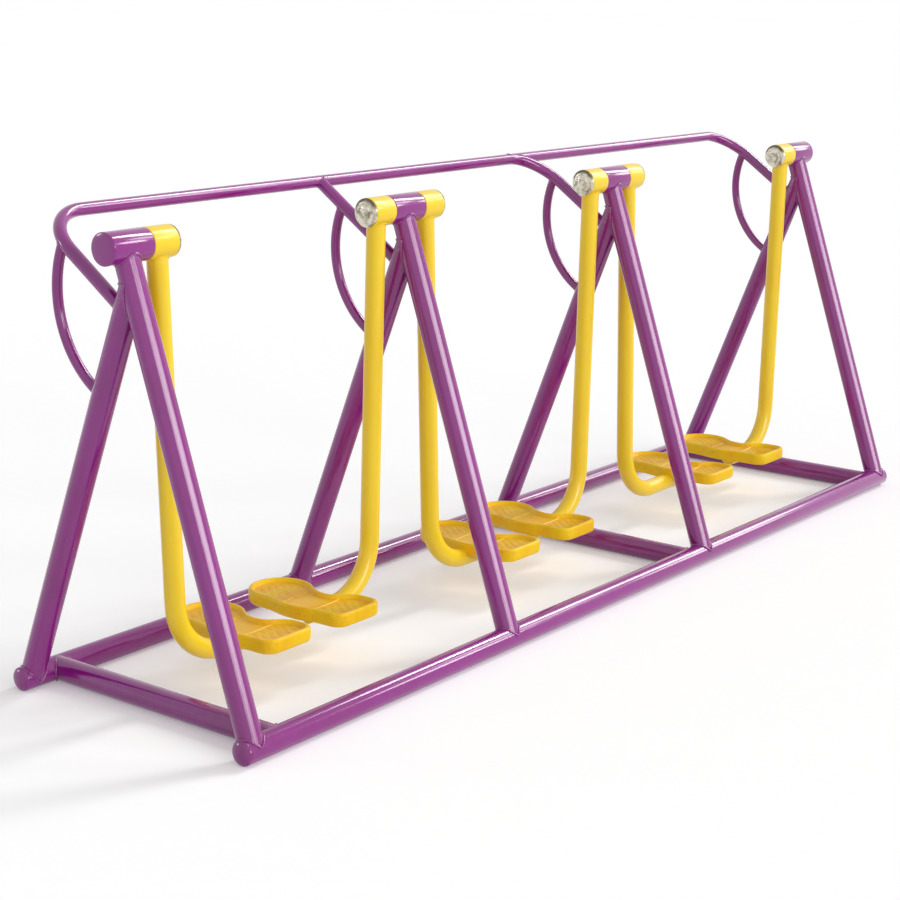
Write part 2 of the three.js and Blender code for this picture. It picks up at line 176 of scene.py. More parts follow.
@dataclass(frozen=True)
class Route:
    """Centre line of a tube, as a row of points."""

    points: np.ndarray

    @classmethod
    def straight(cls, start: np.ndarray, end: np.ndarray) -> "Route":
        """Straight line between two points."""
        return cls(np.array([start, end], dtype=float))

    @classmethod
    def bent(cls, corners: Sequence[np.ndarray], radius: float, steps: int = 26) -> "Route":
        """Line through corners, with the same bend radius at every inner corner.

        Args:
            corners: The points that the straight stretches aim at.
            radius: Bend radius of the centre line.
            steps: Number of steps round one bend.

        Returns:
            The route with its bends drawn in.
        """
        points = [np.asarray(corners[0], dtype=float)]
        for before, corner, after in zip(corners, corners[1:], corners[2:]):
            incoming = unit(corner - before)
            outgoing = unit(after - corner)
            turn = math.acos(float(np.clip(incoming @ outgoing, -1, 1)))
            inward = unit(outgoing - incoming * math.cos(turn))
            entry = corner - incoming * radius * math.tan(turn / 2)
            for step in range(steps + 1):
                angle = turn * step / steps
                points.append(
                    entry
                    + incoming * radius * math.sin(angle)
                    + inward * radius * (1 - math.cos(angle))
                )
        points.append(np.asarray(corners[-1], dtype=float))
        return cls(np.array(points))

    @classmethod
    def bowed(
        cls, start: np.ndarray, end: np.ndarray, outward: np.ndarray, bow: float, steps: int = 40
    ) -> "Route":
        """Circular arc from start to end, bowed outwards by the given height.

        Args:
            start: First point.
            end: Last point.
            outward: Side that it bows towards.
            bow: Height of the bow.
            steps: Number of steps along it.

        Returns:
            The route.
        """
        half = np.linalg.norm(end - start) / 2
        radius = (half**2 + bow**2) / (2 * bow)
        along = unit(end - start)
        out = unit(outward - along * float(outward @ along))
        centre = (start + end) / 2 + out * (bow - radius)
        half_turn = math.asin(half / radius)
        angles = np.linspace(-half_turn, half_turn, steps + 1)
        points = [
            centre + along * radius * math.sin(angle) + out * radius * math.cos(angle)
            for angle in angles
        ]
        return cls(np.array(points))

    def backwards(self) -> "Route":
        """The same route, run from its end to its start."""
        return Route(self.points[::-1].copy())

    def reaches(self) -> np.ndarray:
        """Distance of each point from the start, along the route."""
        steps = np.linalg.norm(np.diff(self.points, axis=0), axis=1)
        return np.concatenate([[0.0], np.cumsum(steps)])

    def directions(self) -> np.ndarray:
        """Direction of the route at each point.

        Returns:
            One direction for each point.
        """
        runs = np.diff(self.points, axis=0)
        runs /= np.linalg.norm(runs, axis=1)[:, None]
        ends = np.concatenate([runs[:1], runs[:-1] + runs[1:], runs[-1:]])
        return ends / np.linalg.norm(ends, axis=1)[:, None]

    def at(self, reach: float) -> tuple[np.ndarray, np.ndarray]:
        """Point and direction at a distance from the start.

        Args:
            reach: Distance from the start.

        Returns:
            The point and the direction.
        """
        reaches = self.reaches()
        directions = self.directions()
        point = np.array([np.interp(reach, reaches, self.points[:, axis]) for axis in range(3)])
        heading = np.array([np.interp(reach, reaches, directions[:, axis]) for axis in range(3)])
        return point, unit(heading)

    def distance(self, places: np.ndarray) -> np.ndarray:
        """Distance of each place from the route.

        Args:
            places: Points, one a row.

        Returns:
            One distance for each row.
        """
        starts = self.points[:-1]
        runs = np.diff(self.points, axis=0)
        squares = (runs**2).sum(axis=1)
        offsets = places[:, None, :] - starts[None, :, :]
        shares = np.clip((offsets * runs[None]).sum(axis=2) / squares[None], 0, 1)
        nearest = offsets - runs[None] * shares[:, :, None]
        return np.sqrt((nearest**2).sum(axis=2)).min(axis=1)


@dataclass(frozen=True)
class RoundBar:
    """A round tube seen from outside: its centre line and its radius."""

    route: Route
    radius: float


@dataclass
class Shell:
    """A growing closed mesh."""

    points: list[tuple[float, float, float]] = field(default_factory=list)
    faces: list[tuple[int, ...]] = field(default_factory=list)
    weld_distance: float = 1e-6

    def add_ring(self, ring: np.ndarray) -> list[int]:
        """Add a ring of points and give their numbers.

        Args:
            ring: The points, one a row.

        Returns:
            The numbers of its points.
        """
        first = len(self.points)
        self.points.extend(tuple(map(float, point)) for point in ring)
        return list(range(first, first + len(ring)))

    def join_rings(self, near: list[int], far: list[int]) -> None:
        """Join two rings of the same count with a band of faces.

        Args:
            near: Point numbers of one ring.
            far: Point numbers of the other.
        """
        count = len(near)
        for index in range(count):
            following = (index + 1) % count
            self.faces.append((near[index], near[following], far[following], far[index]))

    def close_ring(self, ring: list[int]) -> None:
        """Close a ring with a fan to its middle.

        Args:
            ring: Point numbers of the ring.
        """
        middle = np.mean([self.points[index] for index in ring], axis=0)
        centre = self.add_ring(np.array([middle]))[0]
        count = len(ring)
        for index in range(count):
            self.faces.append((ring[index], ring[(index + 1) % count], centre))

    def loft(self, rings: Sequence[np.ndarray], loop: bool = False) -> list[list[int]]:
        """Add rings and join each to the next.

        Args:
            rings: The rings, all with the same count of points.
            loop: Whether the last ring is joined to the first.

        Returns:
            The point numbers of every ring.
        """
        numbers = [self.add_ring(ring) for ring in rings]
        for near, far in zip(numbers, numbers[1:]):
            self.join_rings(near, far)
        if loop:
            self.join_rings(numbers[-1], numbers[0])
        return numbers

    def to_object(
        self, name: str, sharp_degrees: float = SMOOTH_TURN_DEGREES
    ) -> bpy.types.Object:
        """Turn the shell into a smooth object with its faces outwards.

        Args:
            name: Name of the object.
            sharp_degrees: Edges that turn more than this stay sharp.

        Returns:
            The object, at the origin.
        """
        mesh = bpy.data.meshes.new(name)
        mesh.from_pydata(self.points, [], self.faces)
        work = bmesh.new()
        work.from_mesh(mesh)
        bmesh.ops.remove_doubles(work, verts=work.verts, dist=self.weld_distance)
        bmesh.ops.recalc_face_normals(work, faces=work.faces)
        work.to_mesh(mesh)
        work.free()
        mesh.shade_smooth()
        mesh.set_sharp_from_angle(angle=math.radians(sharp_degrees))
        piece = bpy.data.objects.new(name, mesh)
        bpy.context.scene.collection.objects.link(piece)
        return piece


def unit(vector: np.ndarray) -> np.ndarray:
    """The same direction with length one."""
    return vector / np.linalg.norm(vector)


def circle_about(
    centre: np.ndarray, side: np.ndarray, other: np.ndarray, radius: float, count: int
) -> np.ndarray:
    """Points of a circle spanned by two square directions.

    Args:
        centre: Middle of the circle.
        side: First direction, where the points start.
        other: Second direction.
        radius: Radius of the circle.
        count: Number of points.

    Returns:
        The points, one a row.
    """
    angles = np.arange(count) * (2 * math.pi / count)
    return (
        centre[None, :]
        + radius * np.cos(angles)[:, None] * side[None, :]
        + radius * np.sin(angles)[:, None] * other[None, :]
    )


def square_directions(heading: np.ndarray) -> tuple[np.ndarray, np.ndarray]:
    """Two directions that are square to a heading and to each other.

    Args:
        heading: Direction of length one.

    Returns:
        The two directions.
    """
    helper = np.array([1.0, 0.0, 0.0])
    if abs(heading[0]) > 0.7:
        helper = np.array([0.0, 0.0, 1.0])
    side = unit(np.cross(helper, heading))
    return side, np.cross(heading, side)


def slid_onto(ring: np.ndarray, heading: np.ndarray, neighbour: RoundBar) -> np.ndarray:
    """Slide each point of a ring along a heading until it meets the neighbour's surface.

    Args:
        ring: Points outside the neighbour.
        heading: Direction towards the neighbour.
        neighbour: The bar that the ring is cut to fit.

    Returns:
        The points on the neighbour's surface, or where they pass closest to it.
    """
    steps = np.linspace(0.0, SLIDE_REACH, SLIDE_STEPS)
    trial = ring[:, None, :] + steps[None, :, None] * heading[None, None, :]
    gaps = neighbour.route.distance(trial.reshape(-1, 3)).reshape(len(ring), -1)
    inside = gaps < neighbour.radius
    first = np.where(inside.any(axis=1), inside.argmax(axis=1), gaps.argmin(axis=1))
    low = steps[np.maximum(first - 1, 0)]
    high = steps[first]
    for _ in range(HALVINGS):
        middle = (low + high) / 2
        gap = neighbour.route.distance(ring + middle[:, None] * heading[None, :])
        reached = gap < neighbour.radius
        high = np.where(reached, middle, high)
        low = np.where(reached, low, middle)
    return ring + high[:, None] * heading[None, :]


@dataclass
class Tube:
    """A smooth round tube that may be cut to fit a neighbour at either end."""

    route: Route
    radius: float
    segments: int
    start: RoundBar | None = None
    end: RoundBar | None = None
    bead: float = 0.0026
    edge: float = 0.0016
    edge_steps: int = 4
    seat_gap: float = 0.0002
    probe_step: float = 0.002
    probe_reach: float = 0.3
    probe_points: int = 24

    def clear_reach(self, route: Route, neighbour: RoundBar) -> float:
        """Distance from a route's start at which a whole ring is outside the neighbour.

        Args:
            route: The tube's route, or the same run backwards.
            neighbour: The bar that it is cut to fit.

        Returns:
            The distance, or the end of the probe where no ring is clear.
        """
        reach = 0.0
        while reach < self.probe_reach:
            point, heading = route.at(reach)
            side, other = square_directions(heading)
            ring = circle_about(point, side, other, self.radius + self.bead, self.probe_points)
            if neighbour.route.distance(ring).min() > neighbour.radius + self.bead:
                return reach
            reach += self.probe_step
        return reach

    def stations(self) -> list[tuple[np.ndarray, np.ndarray]]:
        """Points and directions of the rings, clear of both neighbours.

        Returns:
            Point and direction of each ring.
        """
        reaches = self.route.reaches()
        low = self.clear_reach(self.route, self.start) if self.start else 0.0
        high = reaches[-1]
        if self.end:
            high -= self.clear_reach(self.route.backwards(), self.end)
        gap = self.probe_step
        inner = [reach for reach in reaches if low + gap < reach < high - gap]
        return [self.route.at(reach) for reach in [low, *inner, high]]

    def rings(self, grow: float = 0.0) -> list[np.ndarray]:
        """Rings along the tube, without the cut ends.

        Args:
            grow: Added to the radius.

        Returns:
            One ring for each station.
        """
        stations = self.stations()
        side, other = square_directions(stations[0][1])
        heading = stations[0][1]
        rings = []
        for point, following in stations:
            turn = Vector(heading).rotation_difference(Vector(following)).to_matrix()
            side = np.array(turn @ Vector(side))
            other = np.array(turn @ Vector(other))
            heading = following
            rings.append(circle_about(point, side, other, self.radius + grow, self.segments))
        return rings

    def rounded_end(
        self, ring: np.ndarray, point: np.ndarray, outward: np.ndarray
    ) -> list[np.ndarray]:
        """Round over a flat end.

        Args:
            ring: Last ring of the tube.
            point: Middle of that ring.
            outward: Direction out of the tube.

        Returns:
            The rings, from the outside inwards.
        """
        rings = []
        for step in range(self.edge_steps + 1):
            angle = math.pi / 2 * step / self.edge_steps
            shrink = 1 - self.edge * (1 - math.cos(angle)) / self.radius
            lift = self.edge * (math.sin(angle) - 1)
            rings.append(point + (ring - point) * shrink + outward * lift)
        return rings

    def build(self, shell: Shell) -> list[np.ndarray]:
        """Add the tube to a shell.

        Args:
            shell: The shell that takes the tube.

        Returns:
            The closed lines that weld beads follow, one for each cut end.
        """
        stations = self.stations()
        rings = self.rings()
        wide = self.rings(self.bead / 4)
        seams = []
        ends = []
        for index, sign, neighbour in ((0, -1, self.start), (-1, 1, self.end)):
            point, heading = stations[index]
            outward = sign * heading
            if neighbour:
                seat = RoundBar(neighbour.route, neighbour.radius - self.seat_gap)
                face = RoundBar(neighbour.route, neighbour.radius + self.bead / 4)
                ends.append([rings[index], slid_onto(rings[index], outward, seat)])
                seams.append(slid_onto(wide[index], outward, face))
            else:
                ends.append(self.rounded_end(rings[index], point, outward))
        numbers = shell.loft(ends[0][::-1] + rings[1:-1] + ends[1])
        shell.close_ring(numbers[0])
        shell.close_ring(numbers[-1])
        return seams


def eased_profile(
    corners: Sequence[tuple[float, float, float]], steps: int = 5, loop: bool = False
) -> list[tuple[float, float]]:
    """Round the corners of a turned profile.

    Args:
        corners: Place along the axis, radius from the axis, and rounding of each corner.
        steps: Steps round each corner.
        loop: Whether the profile closes on itself.

    Returns:
        Points along the rounded profile.
    """
    count = len(corners)
    points: list[tuple[float, float]] = []
    for index, (along, out, ease) in enumerate(corners):
        inner = loop or 0 < index < count - 1
        if ease <= 0 or not inner:
            points.append((along, out))
            continue
        here = np.array([along, out])
        before = np.array(corners[index - 1][:2])
        after = np.array(corners[(index + 1) % count][:2])
        start = here + unit(before - here) * ease
        end = here + unit(after - here) * ease
        for step in range(steps + 1):
            share = step / steps
            curve = start * (1 - share) ** 2 + here * 2 * share * (1 - share) + end * share**2
            points.append((float(curve[0]), float(curve[1])))
    return points


def turned(
    shell: Shell,
    profile: Sequence[tuple[float, float]],
    centre: np.ndarray,
    direction: float = 1.0,
    segments: int = 56,
    loop: bool = False,
) -> None:
    """Add a body turned about a line along X.

    Args:
        shell: The shell that takes the body.
        profile: Place along the axis and radius of each point.
        centre: Point on the axis that the profile is measured from.
        direction: Plus or minus one, the way that the profile runs along X.
        segments: Facets round the axis.
        loop: Whether the profile closes on itself.
    """
    side = np.array([0.0, 1.0, 0.0])
    up = np.array([0.0, 0.0, 1.0])
    rings = []
    for along, radius in profile:
        middle = centre + np.array([direction * along, 0.0, 0.0])
        rings.append(circle_about(middle, side, up, max(radius, AXIS_RADIUS), segments))
    shell.loft(rings, loop)


# Finishes


def socket_kind(name: str, value: object) -> str:
    """Find the type of a group's socket.

    Args:
        name: Name of the socket, which is also its kind where it has no starting value.
        value: Starting value, or None.

    Returns:
        The type name of the socket.
    """
    if isinstance(value, tuple):
        return "NodeSocketColor" if len(value) == 4 else "NodeSocketVector"
    if isinstance(value, (int, float)):
        return f"NodeSocket{type(value).__name__.title()}"
    return f"NodeSocket{name}"


def start_tree(
    name: str, kind: str, inputs: dict[str, object], outputs: dict[str, object]
) -> tuple["NodeSheet", bpy.types.bpy_prop_collection, bpy.types.bpy_prop_collection]:
    """Start a node group.

    Args:
        name: Name of the group.
        kind: Type name of its tree.
        inputs: Starting value of each input, or None for a socket without one.
        outputs: The same for the outputs.

    Returns:
        The sheet of the tree, the sockets that bring its inputs and those of its result.
    """
    tree = bpy.data.node_groups.new(name, kind)
    for direction, sockets in (("INPUT", inputs), ("OUTPUT", outputs)):
        for label, value in sockets.items():
            socket = tree.interface.new_socket(
                label, in_out=direction, socket_type=socket_kind(label, value)
            )
            if value is not None:
                socket.default_value = value
    given = tree.nodes.new("NodeGroupInput")
    result = tree.nodes.new("NodeGroupOutput")
    return NodeSheet(tree), given.outputs, result.inputs


@dataclass
class NodeSheet:
    """Short calls to place and link nodes in one tree."""

    tree: bpy.types.NodeTree

    def put(self, socket: bpy.types.NodeSocket, value: object) -> None:
        """Link an output to an input, or set the input's own value.

        Args:
            socket: The input.
            value: An output socket, a number, a vector, or a colour with or without alpha.
        """
        if isinstance(value, bpy.types.NodeSocket):
            self.tree.links.new(value, socket)
        elif isinstance(value, tuple) and socket.type == "RGBA":
            socket.default_value = (*value[:3], 1.0)
        else:
            socket.default_value = value

    def node(self, kind: str, **settings: object) -> bpy.types.Node:
        """Place a node.

        Args:
            kind: Type name of the node.
            **settings: Properties of the node, or its inputs by name, with underscores for
                spaces.

        Returns:
            The node.
        """
        made = self.tree.nodes.new(kind)
        for key, value in settings.items():
            if hasattr(made, key):
                setattr(made, key, value)
            else:
                self.put(made.inputs[key.replace("_", " ")], value)
        return made

    def math(self, kind: str, *values: object) -> bpy.types.NodeSocket:
        """Place a math node.

        Args:
            kind: What it works out.
            *values: Sockets or numbers.

        Returns:
            The output.
        """
        made = self.node("ShaderNodeMath", operation=kind)
        for socket, value in zip(made.inputs, values):
            self.put(socket, value)
        return made.outputs[0]

    def product(self, *factors: object) -> bpy.types.NodeSocket:
        """Multiply sockets or numbers with each other."""
        return reduce(partial(self.math, "MULTIPLY"), factors)

    def total(self, *parts: object) -> bpy.types.NodeSocket:
        """Add sockets or numbers up."""
        return reduce(partial(self.math, "ADD"), parts)

    def axis(self, vector: bpy.types.NodeSocket, name: str) -> bpy.types.NodeSocket:
        """The X, Y or Z of a vector."""
        return self.node("ShaderNodeSeparateXYZ", Vector=vector).outputs[name]

    def upness(self) -> bpy.types.NodeSocket:
        """How far a face looks up, from minus one to one."""
        return self.axis(self.node("ShaderNodeNewGeometry").outputs["Normal"], "Z")

    def ramp(
        self, value: bpy.types.NodeSocket, low: float, high: float, start: float = 0.0,
        end: float = 1.0,
    ) -> bpy.types.NodeSocket:
        """Map a value smoothly from one span to another.

        Args:
            value: The value.
            low: Value that gives the start.
            high: Value that gives the end.
            start: Result at the low value.
            end: Result at the high value.

        Returns:
            The result.
        """
        made = self.node(
            "ShaderNodeMapRange", interpolation_type="SMOOTHSTEP", Value=value,
            From_Min=low, From_Max=high, To_Min=start, To_Max=end,
        )
        return made.outputs["Result"]

    def mix(self, share: object, first: object, second: object) -> bpy.types.NodeSocket:
        """Mix two colours.

        Args:
            share: Socket or number for the second colour's share.
            first: Socket or colour.
            second: Socket or colour.

        Returns:
            The mixed colour.
        """
        made = self.node("ShaderNodeMix", data_type="RGBA")
        for number, value in ((0, share), (6, first), (7, second)):
            self.put(made.inputs[number], value)
        return made.outputs[2]

    def noise(
        self, vector: bpy.types.NodeSocket, scale: object, detail: float = 3.0, rough: float = 0.55
    ) -> bpy.types.NodeSocket:
        """Place a noise texture.

        Args:
            vector: Coordinates.
            scale: Socket or number for its scale.
            detail: Layers of finer noise.
            rough: Share of the finer layers.

        Returns:
            The value.
        """
        made = self.node(
            "ShaderNodeTexNoise", Vector=vector, Scale=scale, Detail=detail, Roughness=rough
        )
        return made.outputs[0]

    def bump(
        self, height: bpy.types.NodeSocket, strength: float, distance: float
    ) -> bpy.types.NodeSocket:
        """Bump the surface by a height and give its normal."""
        made = self.node("ShaderNodeBump", Height=height, Strength=strength, Distance=distance)
        return made.outputs[0]


@dataclass
class SurfaceGroups:
    """Shader node groups that the finishes share."""

    groups: dict[str, bpy.types.NodeTree] = field(default_factory=dict)

    def start(
        self, name: str, outputs: dict[str, object], **inputs: object
    ) -> tuple[NodeSheet, bpy.types.bpy_prop_collection, bpy.types.bpy_prop_collection]:
        """Start a group that works in the coordinates of its Vector input.

        Args:
            name: Name of the group.
            outputs: Starting value of each output, or None for a colour.
            **inputs: Starting value of each further input, with underscores for spaces.

        Returns:
            The sheet of the group, the sockets that bring its inputs and those of its result.
        """
        named = {key.replace("_", " "): value for key, value in inputs.items()}
        sheet, given, result = start_tree(
            name, "ShaderNodeTree", {"Vector": None, **named}, outputs
        )
        self.groups[name] = sheet.tree
        return sheet, given, result

    def paint_tone(self) -> None:
        """Uneven film thickness: broad patches and fine mottling of the paint colour."""
        sheet, given, result = self.start(
            "paint_tone", {"Color": None, "Roughness": 0.0},
            Base=(0.5, 0.5, 0.5, 1.0), Deep=(0.3, 0.3, 0.3, 1.0), Light=(0.7, 0.7, 0.7, 1.0),
            Patch_Scale=3.0, Mottle_Scale=60.0, Smooth=0.28, Dull=0.4,
        )
        patch = sheet.noise(given["Vector"], given["Patch Scale"], 4.0)
        mottle = sheet.noise(given["Vector"], given["Mottle Scale"])
        deep = sheet.product(sheet.ramp(patch, 0.42, 0.72), 0.75)
        light = sheet.product(sheet.ramp(mottle, 0.55, 0.80), 0.55)
        toned = sheet.mix(deep, given["Base"], given["Deep"])
        sheet.put(result["Color"], sheet.mix(light, toned, given["Light"]))
        span = sheet.math("SUBTRACT", given["Dull"], given["Smooth"])
        uneven = sheet.total(sheet.product(patch, 0.6), sheet.product(mottle, 0.4))
        rough = sheet.total(given["Smooth"], sheet.product(span, uneven))
        sheet.put(result["Roughness"], rough)

    def orange_peel(self) -> None:
        """The slight waviness of a sprayed and baked film."""
        sheet, given, result = self.start(
            "orange_peel", {"Height": 0.0}, Peel_Scale=420.0, Pit_Scale=1400.0
        )
        peel = sheet.noise(given["Vector"], given["Peel Scale"], 2.0, 0.4)
        pit = sheet.noise(given["Vector"], given["Pit Scale"], 2.0, 0.6)
        height = sheet.total(sheet.product(peel, 0.8), sheet.product(pit, 0.2))
        sheet.put(result["Height"], height)

    def ground_dust(self) -> None:
        """Fine dust that is thickest near the ground and on faces that look up."""
        sheet, given, result = self.start("ground_dust", {"Mask": 0.0}, Top=0.25, Amount=0.3)
        place = given["Vector"]
        share = sheet.math("DIVIDE", sheet.axis(place, "Z"), given["Top"])
        low = sheet.ramp(share, 0.0, 1.0, 1.0, 0.0)
        cloud = sheet.ramp(sheet.noise(place, 26.0, 6.0, 0.65), 0.38, 0.72)
        speck = sheet.ramp(sheet.noise(place, 520.0, 2.0, 0.5), 0.52, 0.75)
        mottled = sheet.total(sheet.product(cloud, 0.8), sheet.product(speck, 0.3))
        upward = sheet.ramp(sheet.upness(), -0.2, 0.9, 0.35, 1.0)
        sheet.put(result["Mask"], sheet.product(low, mottled, upward, given["Amount"]))

    def edge_rub(self) -> None:
        """Paint that is rubbed thin along raised edges, broken up by noise."""
        sheet, given, result = self.start("edge_rub", {"Mask": 0.0}, Amount=0.3, Break_Scale=90.0)
        shape = sheet.node("ShaderNodeNewGeometry")
        edge = sheet.ramp(shape.outputs["Pointiness"], 0.53, 0.62)
        grain = sheet.noise(given["Vector"], given["Break Scale"], 5.0, 0.7)
        broken = sheet.ramp(grain, 0.45, 0.62)
        sheet.put(result["Mask"], sheet.product(edge, broken, given["Amount"]))

    def shoe_scuff(self) -> None:
        """Short scuffs along Y, as shoe soles leave them."""
        sheet, given, result = self.start("shoe_scuff", {"Mask": 0.0}, Amount=0.3)
        stretch = sheet.node("ShaderNodeMapping", Scale=(260.0, 34.0, 90.0), Vector=given["Vector"])
        streak = sheet.ramp(sheet.noise(stretch.outputs["Vector"], 1.0, 4.0, 0.6), 0.50, 0.70)
        area = sheet.ramp(sheet.noise(given["Vector"], 18.0), 0.38, 0.62)
        sheet.put(result["Mask"], sheet.product(streak, area, given["Amount"]))

    def sunken_face(self) -> None:
        """Deeper and warmer tone of the sunken deck between the rim and the underside."""
        sheet, given, result = self.start("sunken_face", {"Mask": 0.0}, Deck=0.146, Amount=0.6)
        height = sheet.math("SUBTRACT", sheet.axis(given["Vector"], "Z"), given["Deck"])
        above = sheet.ramp(height, -0.0070, -0.0040)
        below = sheet.ramp(height, 0.0010, 0.0085, 1.0, 0.0)
        level = sheet.ramp(sheet.upness(), 0.45, 0.85)
        cloud = sheet.ramp(sheet.noise(given["Vector"], 15.0, 3.0, 0.5), 0.25, 0.62, 0.25, 1.0)
        sheet.put(result["Mask"], sheet.product(above, below, level, cloud, given["Amount"]))

    def turning_marks(self) -> None:
        """Fine rings round an axis along X, left by turning and polishing."""
        sheet, given, result = self.start("turning_marks", {"Height": 0.0}, Scale=260.0)
        wave = sheet.node(
            "ShaderNodeTexWave", wave_type="RINGS", rings_direction="X", Vector=given["Vector"],
            Scale=given["Scale"], Distortion=0.6, Detail=3.0,
        )
        grit = sheet.noise(given["Vector"], 1800.0, 2.0)
        height = sheet.total(sheet.product(wave.outputs[1], 0.7), sheet.product(grit, 0.3))
        sheet.put(result["Height"], height)

    def rain_tarnish(self) -> None:
        """Painted dark reflection: turned metal darkened towards the top of its rim, standing in
        for the dark surroundings that a domed cap reflects there.
        """
        sheet, given, result = self.start("rain_tarnish", {"Mask": 0.0}, Radius=0.0375, Amount=0.8)
        height = sheet.axis(given["Vector"], "Z")
        flat = sheet.node("ShaderNodeCombineXYZ", Y=sheet.axis(given["Vector"], "Y"), Z=height)
        length = sheet.node("ShaderNodeVectorMath", operation="LENGTH", Vector=flat.outputs[0])
        ragged = sheet.product(sheet.noise(given["Vector"], 90.0, 4.0, 0.6), 0.30)
        outward = sheet.math("DIVIDE", length.outputs["Value"], given["Radius"])
        # Painted reflection: a dark band near the rim, only on the upper half.
        rim = sheet.ramp(sheet.total(outward, ragged), 0.78, 1.05)
        above = sheet.ramp(sheet.math("DIVIDE", height, given["Radius"]), 0.05, 0.62)
        sheet.put(result["Mask"], sheet.product(rim, above, given["Amount"]))

    def build(self) -> "SurfaceGroups":
        """Build every group.

        Returns:
            This object.
        """
        for build_group in (
            self.rain_tarnish, self.paint_tone, self.orange_peel, self.ground_dust,
            self.edge_rub, self.shoe_scuff, self.sunken_face, self.turning_marks,
        ):
            build_group()
        return self

    def place(
        self, sheet: NodeSheet, name: str, vector: bpy.types.NodeSocket, **values: object
    ) -> bpy.types.bpy_prop_collection:
        """Place a group in a material.

        Args:
            sheet: Sheet of the material's tree.
            name: Name of the group.
            vector: Coordinates that the group works in.
            **values: Values of its inputs, with underscores for spaces.

        Returns:
            The outputs of the group.
        """
        made = sheet.node("ShaderNodeGroup", node_tree=self.groups[name], Vector=vector, **values)
        return made.outputs


def start_material(
    name: str, **settings: object
) -> tuple[bpy.types.Material, NodeSheet, bpy.types.Node]:
    """Start a material with a single Principled shader.

    Args:
        name: Name of the material.
        **settings: Inputs of the shader, with underscores for spaces.

    Returns:
        The material, the sheet of its tree and the shader.
    """
    material = bpy.data.materials.new(name)
    material.use_nodes = True
    material.node_tree.nodes.clear()
    sheet = NodeSheet(material.node_tree)
    shader = sheet.node("ShaderNodeBsdfPrincipled", **settings)
    sheet.node("ShaderNodeOutputMaterial", Surface=shader.outputs[0])
    return material, sheet, shader


@dataclass(frozen=True)
class PaintFinish:
    """Glossy paint baked on steel, with what use and weather leave on it."""

    name: str
    slot: str
    base: tuple[float, float, float]
    deep: tuple[float, float, float]
    light: tuple[float, float, float]
    dust: tuple[float, float, float] = (0.30, 0.22, 0.15)
    dust_top: float = 0.22
    dust_amount: float = 0.35
    dust_roughness: float = 0.45
    rub: tuple[float, float, float] = (0.42, 0.36, 0.40)
    rub_amount: float = 0.35
    scuff: tuple[float, float, float] = (0.20, 0.13, 0.05)
    scuff_amount: float = 0.0
    scuff_roughness: float = 0.4
    smooth: float = 0.24
    dull: float = 0.40
    coat: float = 0.55
    coat_roughness: float = 0.10
    peel: float = 0.10
    peel_depth: float = 0.0004
    patch_scale: float = 3.0
    specular: float = 0.5
    sunken: tuple[float, float, float] = (0.5, 0.3, 0.1)
    sunken_amount: float = 0.0

    def build(self, groups: SurfaceGroups) -> bpy.types.Material:
        """Build the material.

        Args:
            groups: The shared node groups.

        Returns:
            The material.
        """
        material, sheet, shader = start_material(
            self.name, Specular_IOR_Level=self.specular, Coat_Weight=self.coat,
            Coat_Roughness=self.coat_roughness,
        )
        place = sheet.node("ShaderNodeTexCoord").outputs["Object"]
        tone = groups.place(
            sheet, "paint_tone", place, Base=self.base, Deep=self.deep, Light=self.light,
            Patch_Scale=self.patch_scale, Smooth=self.smooth, Dull=self.dull,
        )
        rub = groups.place(sheet, "edge_rub", place, Amount=self.rub_amount)
        dust = groups.place(
            sheet, "ground_dust", place, Top=self.dust_top, Amount=self.dust_amount
        )
        colour = sheet.mix(rub["Mask"], tone["Color"], self.rub)
        rough = tone["Roughness"]
        if self.sunken_amount > 0:
            hollow = groups.place(sheet, "sunken_face", place, Amount=self.sunken_amount)
            colour = sheet.mix(hollow["Mask"], colour, self.sunken)
        if self.scuff_amount > 0:
            scuff = groups.place(sheet, "shoe_scuff", place, Amount=self.scuff_amount)
            colour = sheet.mix(scuff["Mask"], colour, self.scuff)
            rough = sheet.total(rough, sheet.product(scuff["Mask"], self.scuff_roughness))
        rough = sheet.total(rough, sheet.product(dust["Mask"], self.dust_roughness))
        peel = groups.place(sheet, "orange_peel", place)
        sheet.put(shader.inputs["Base Color"], sheet.mix(dust["Mask"], colour, self.dust))
        sheet.put(shader.inputs["Roughness"], rough)
        sheet.put(shader.inputs["Normal"], sheet.bump(peel["Height"], self.peel, self.peel_depth))
        return material


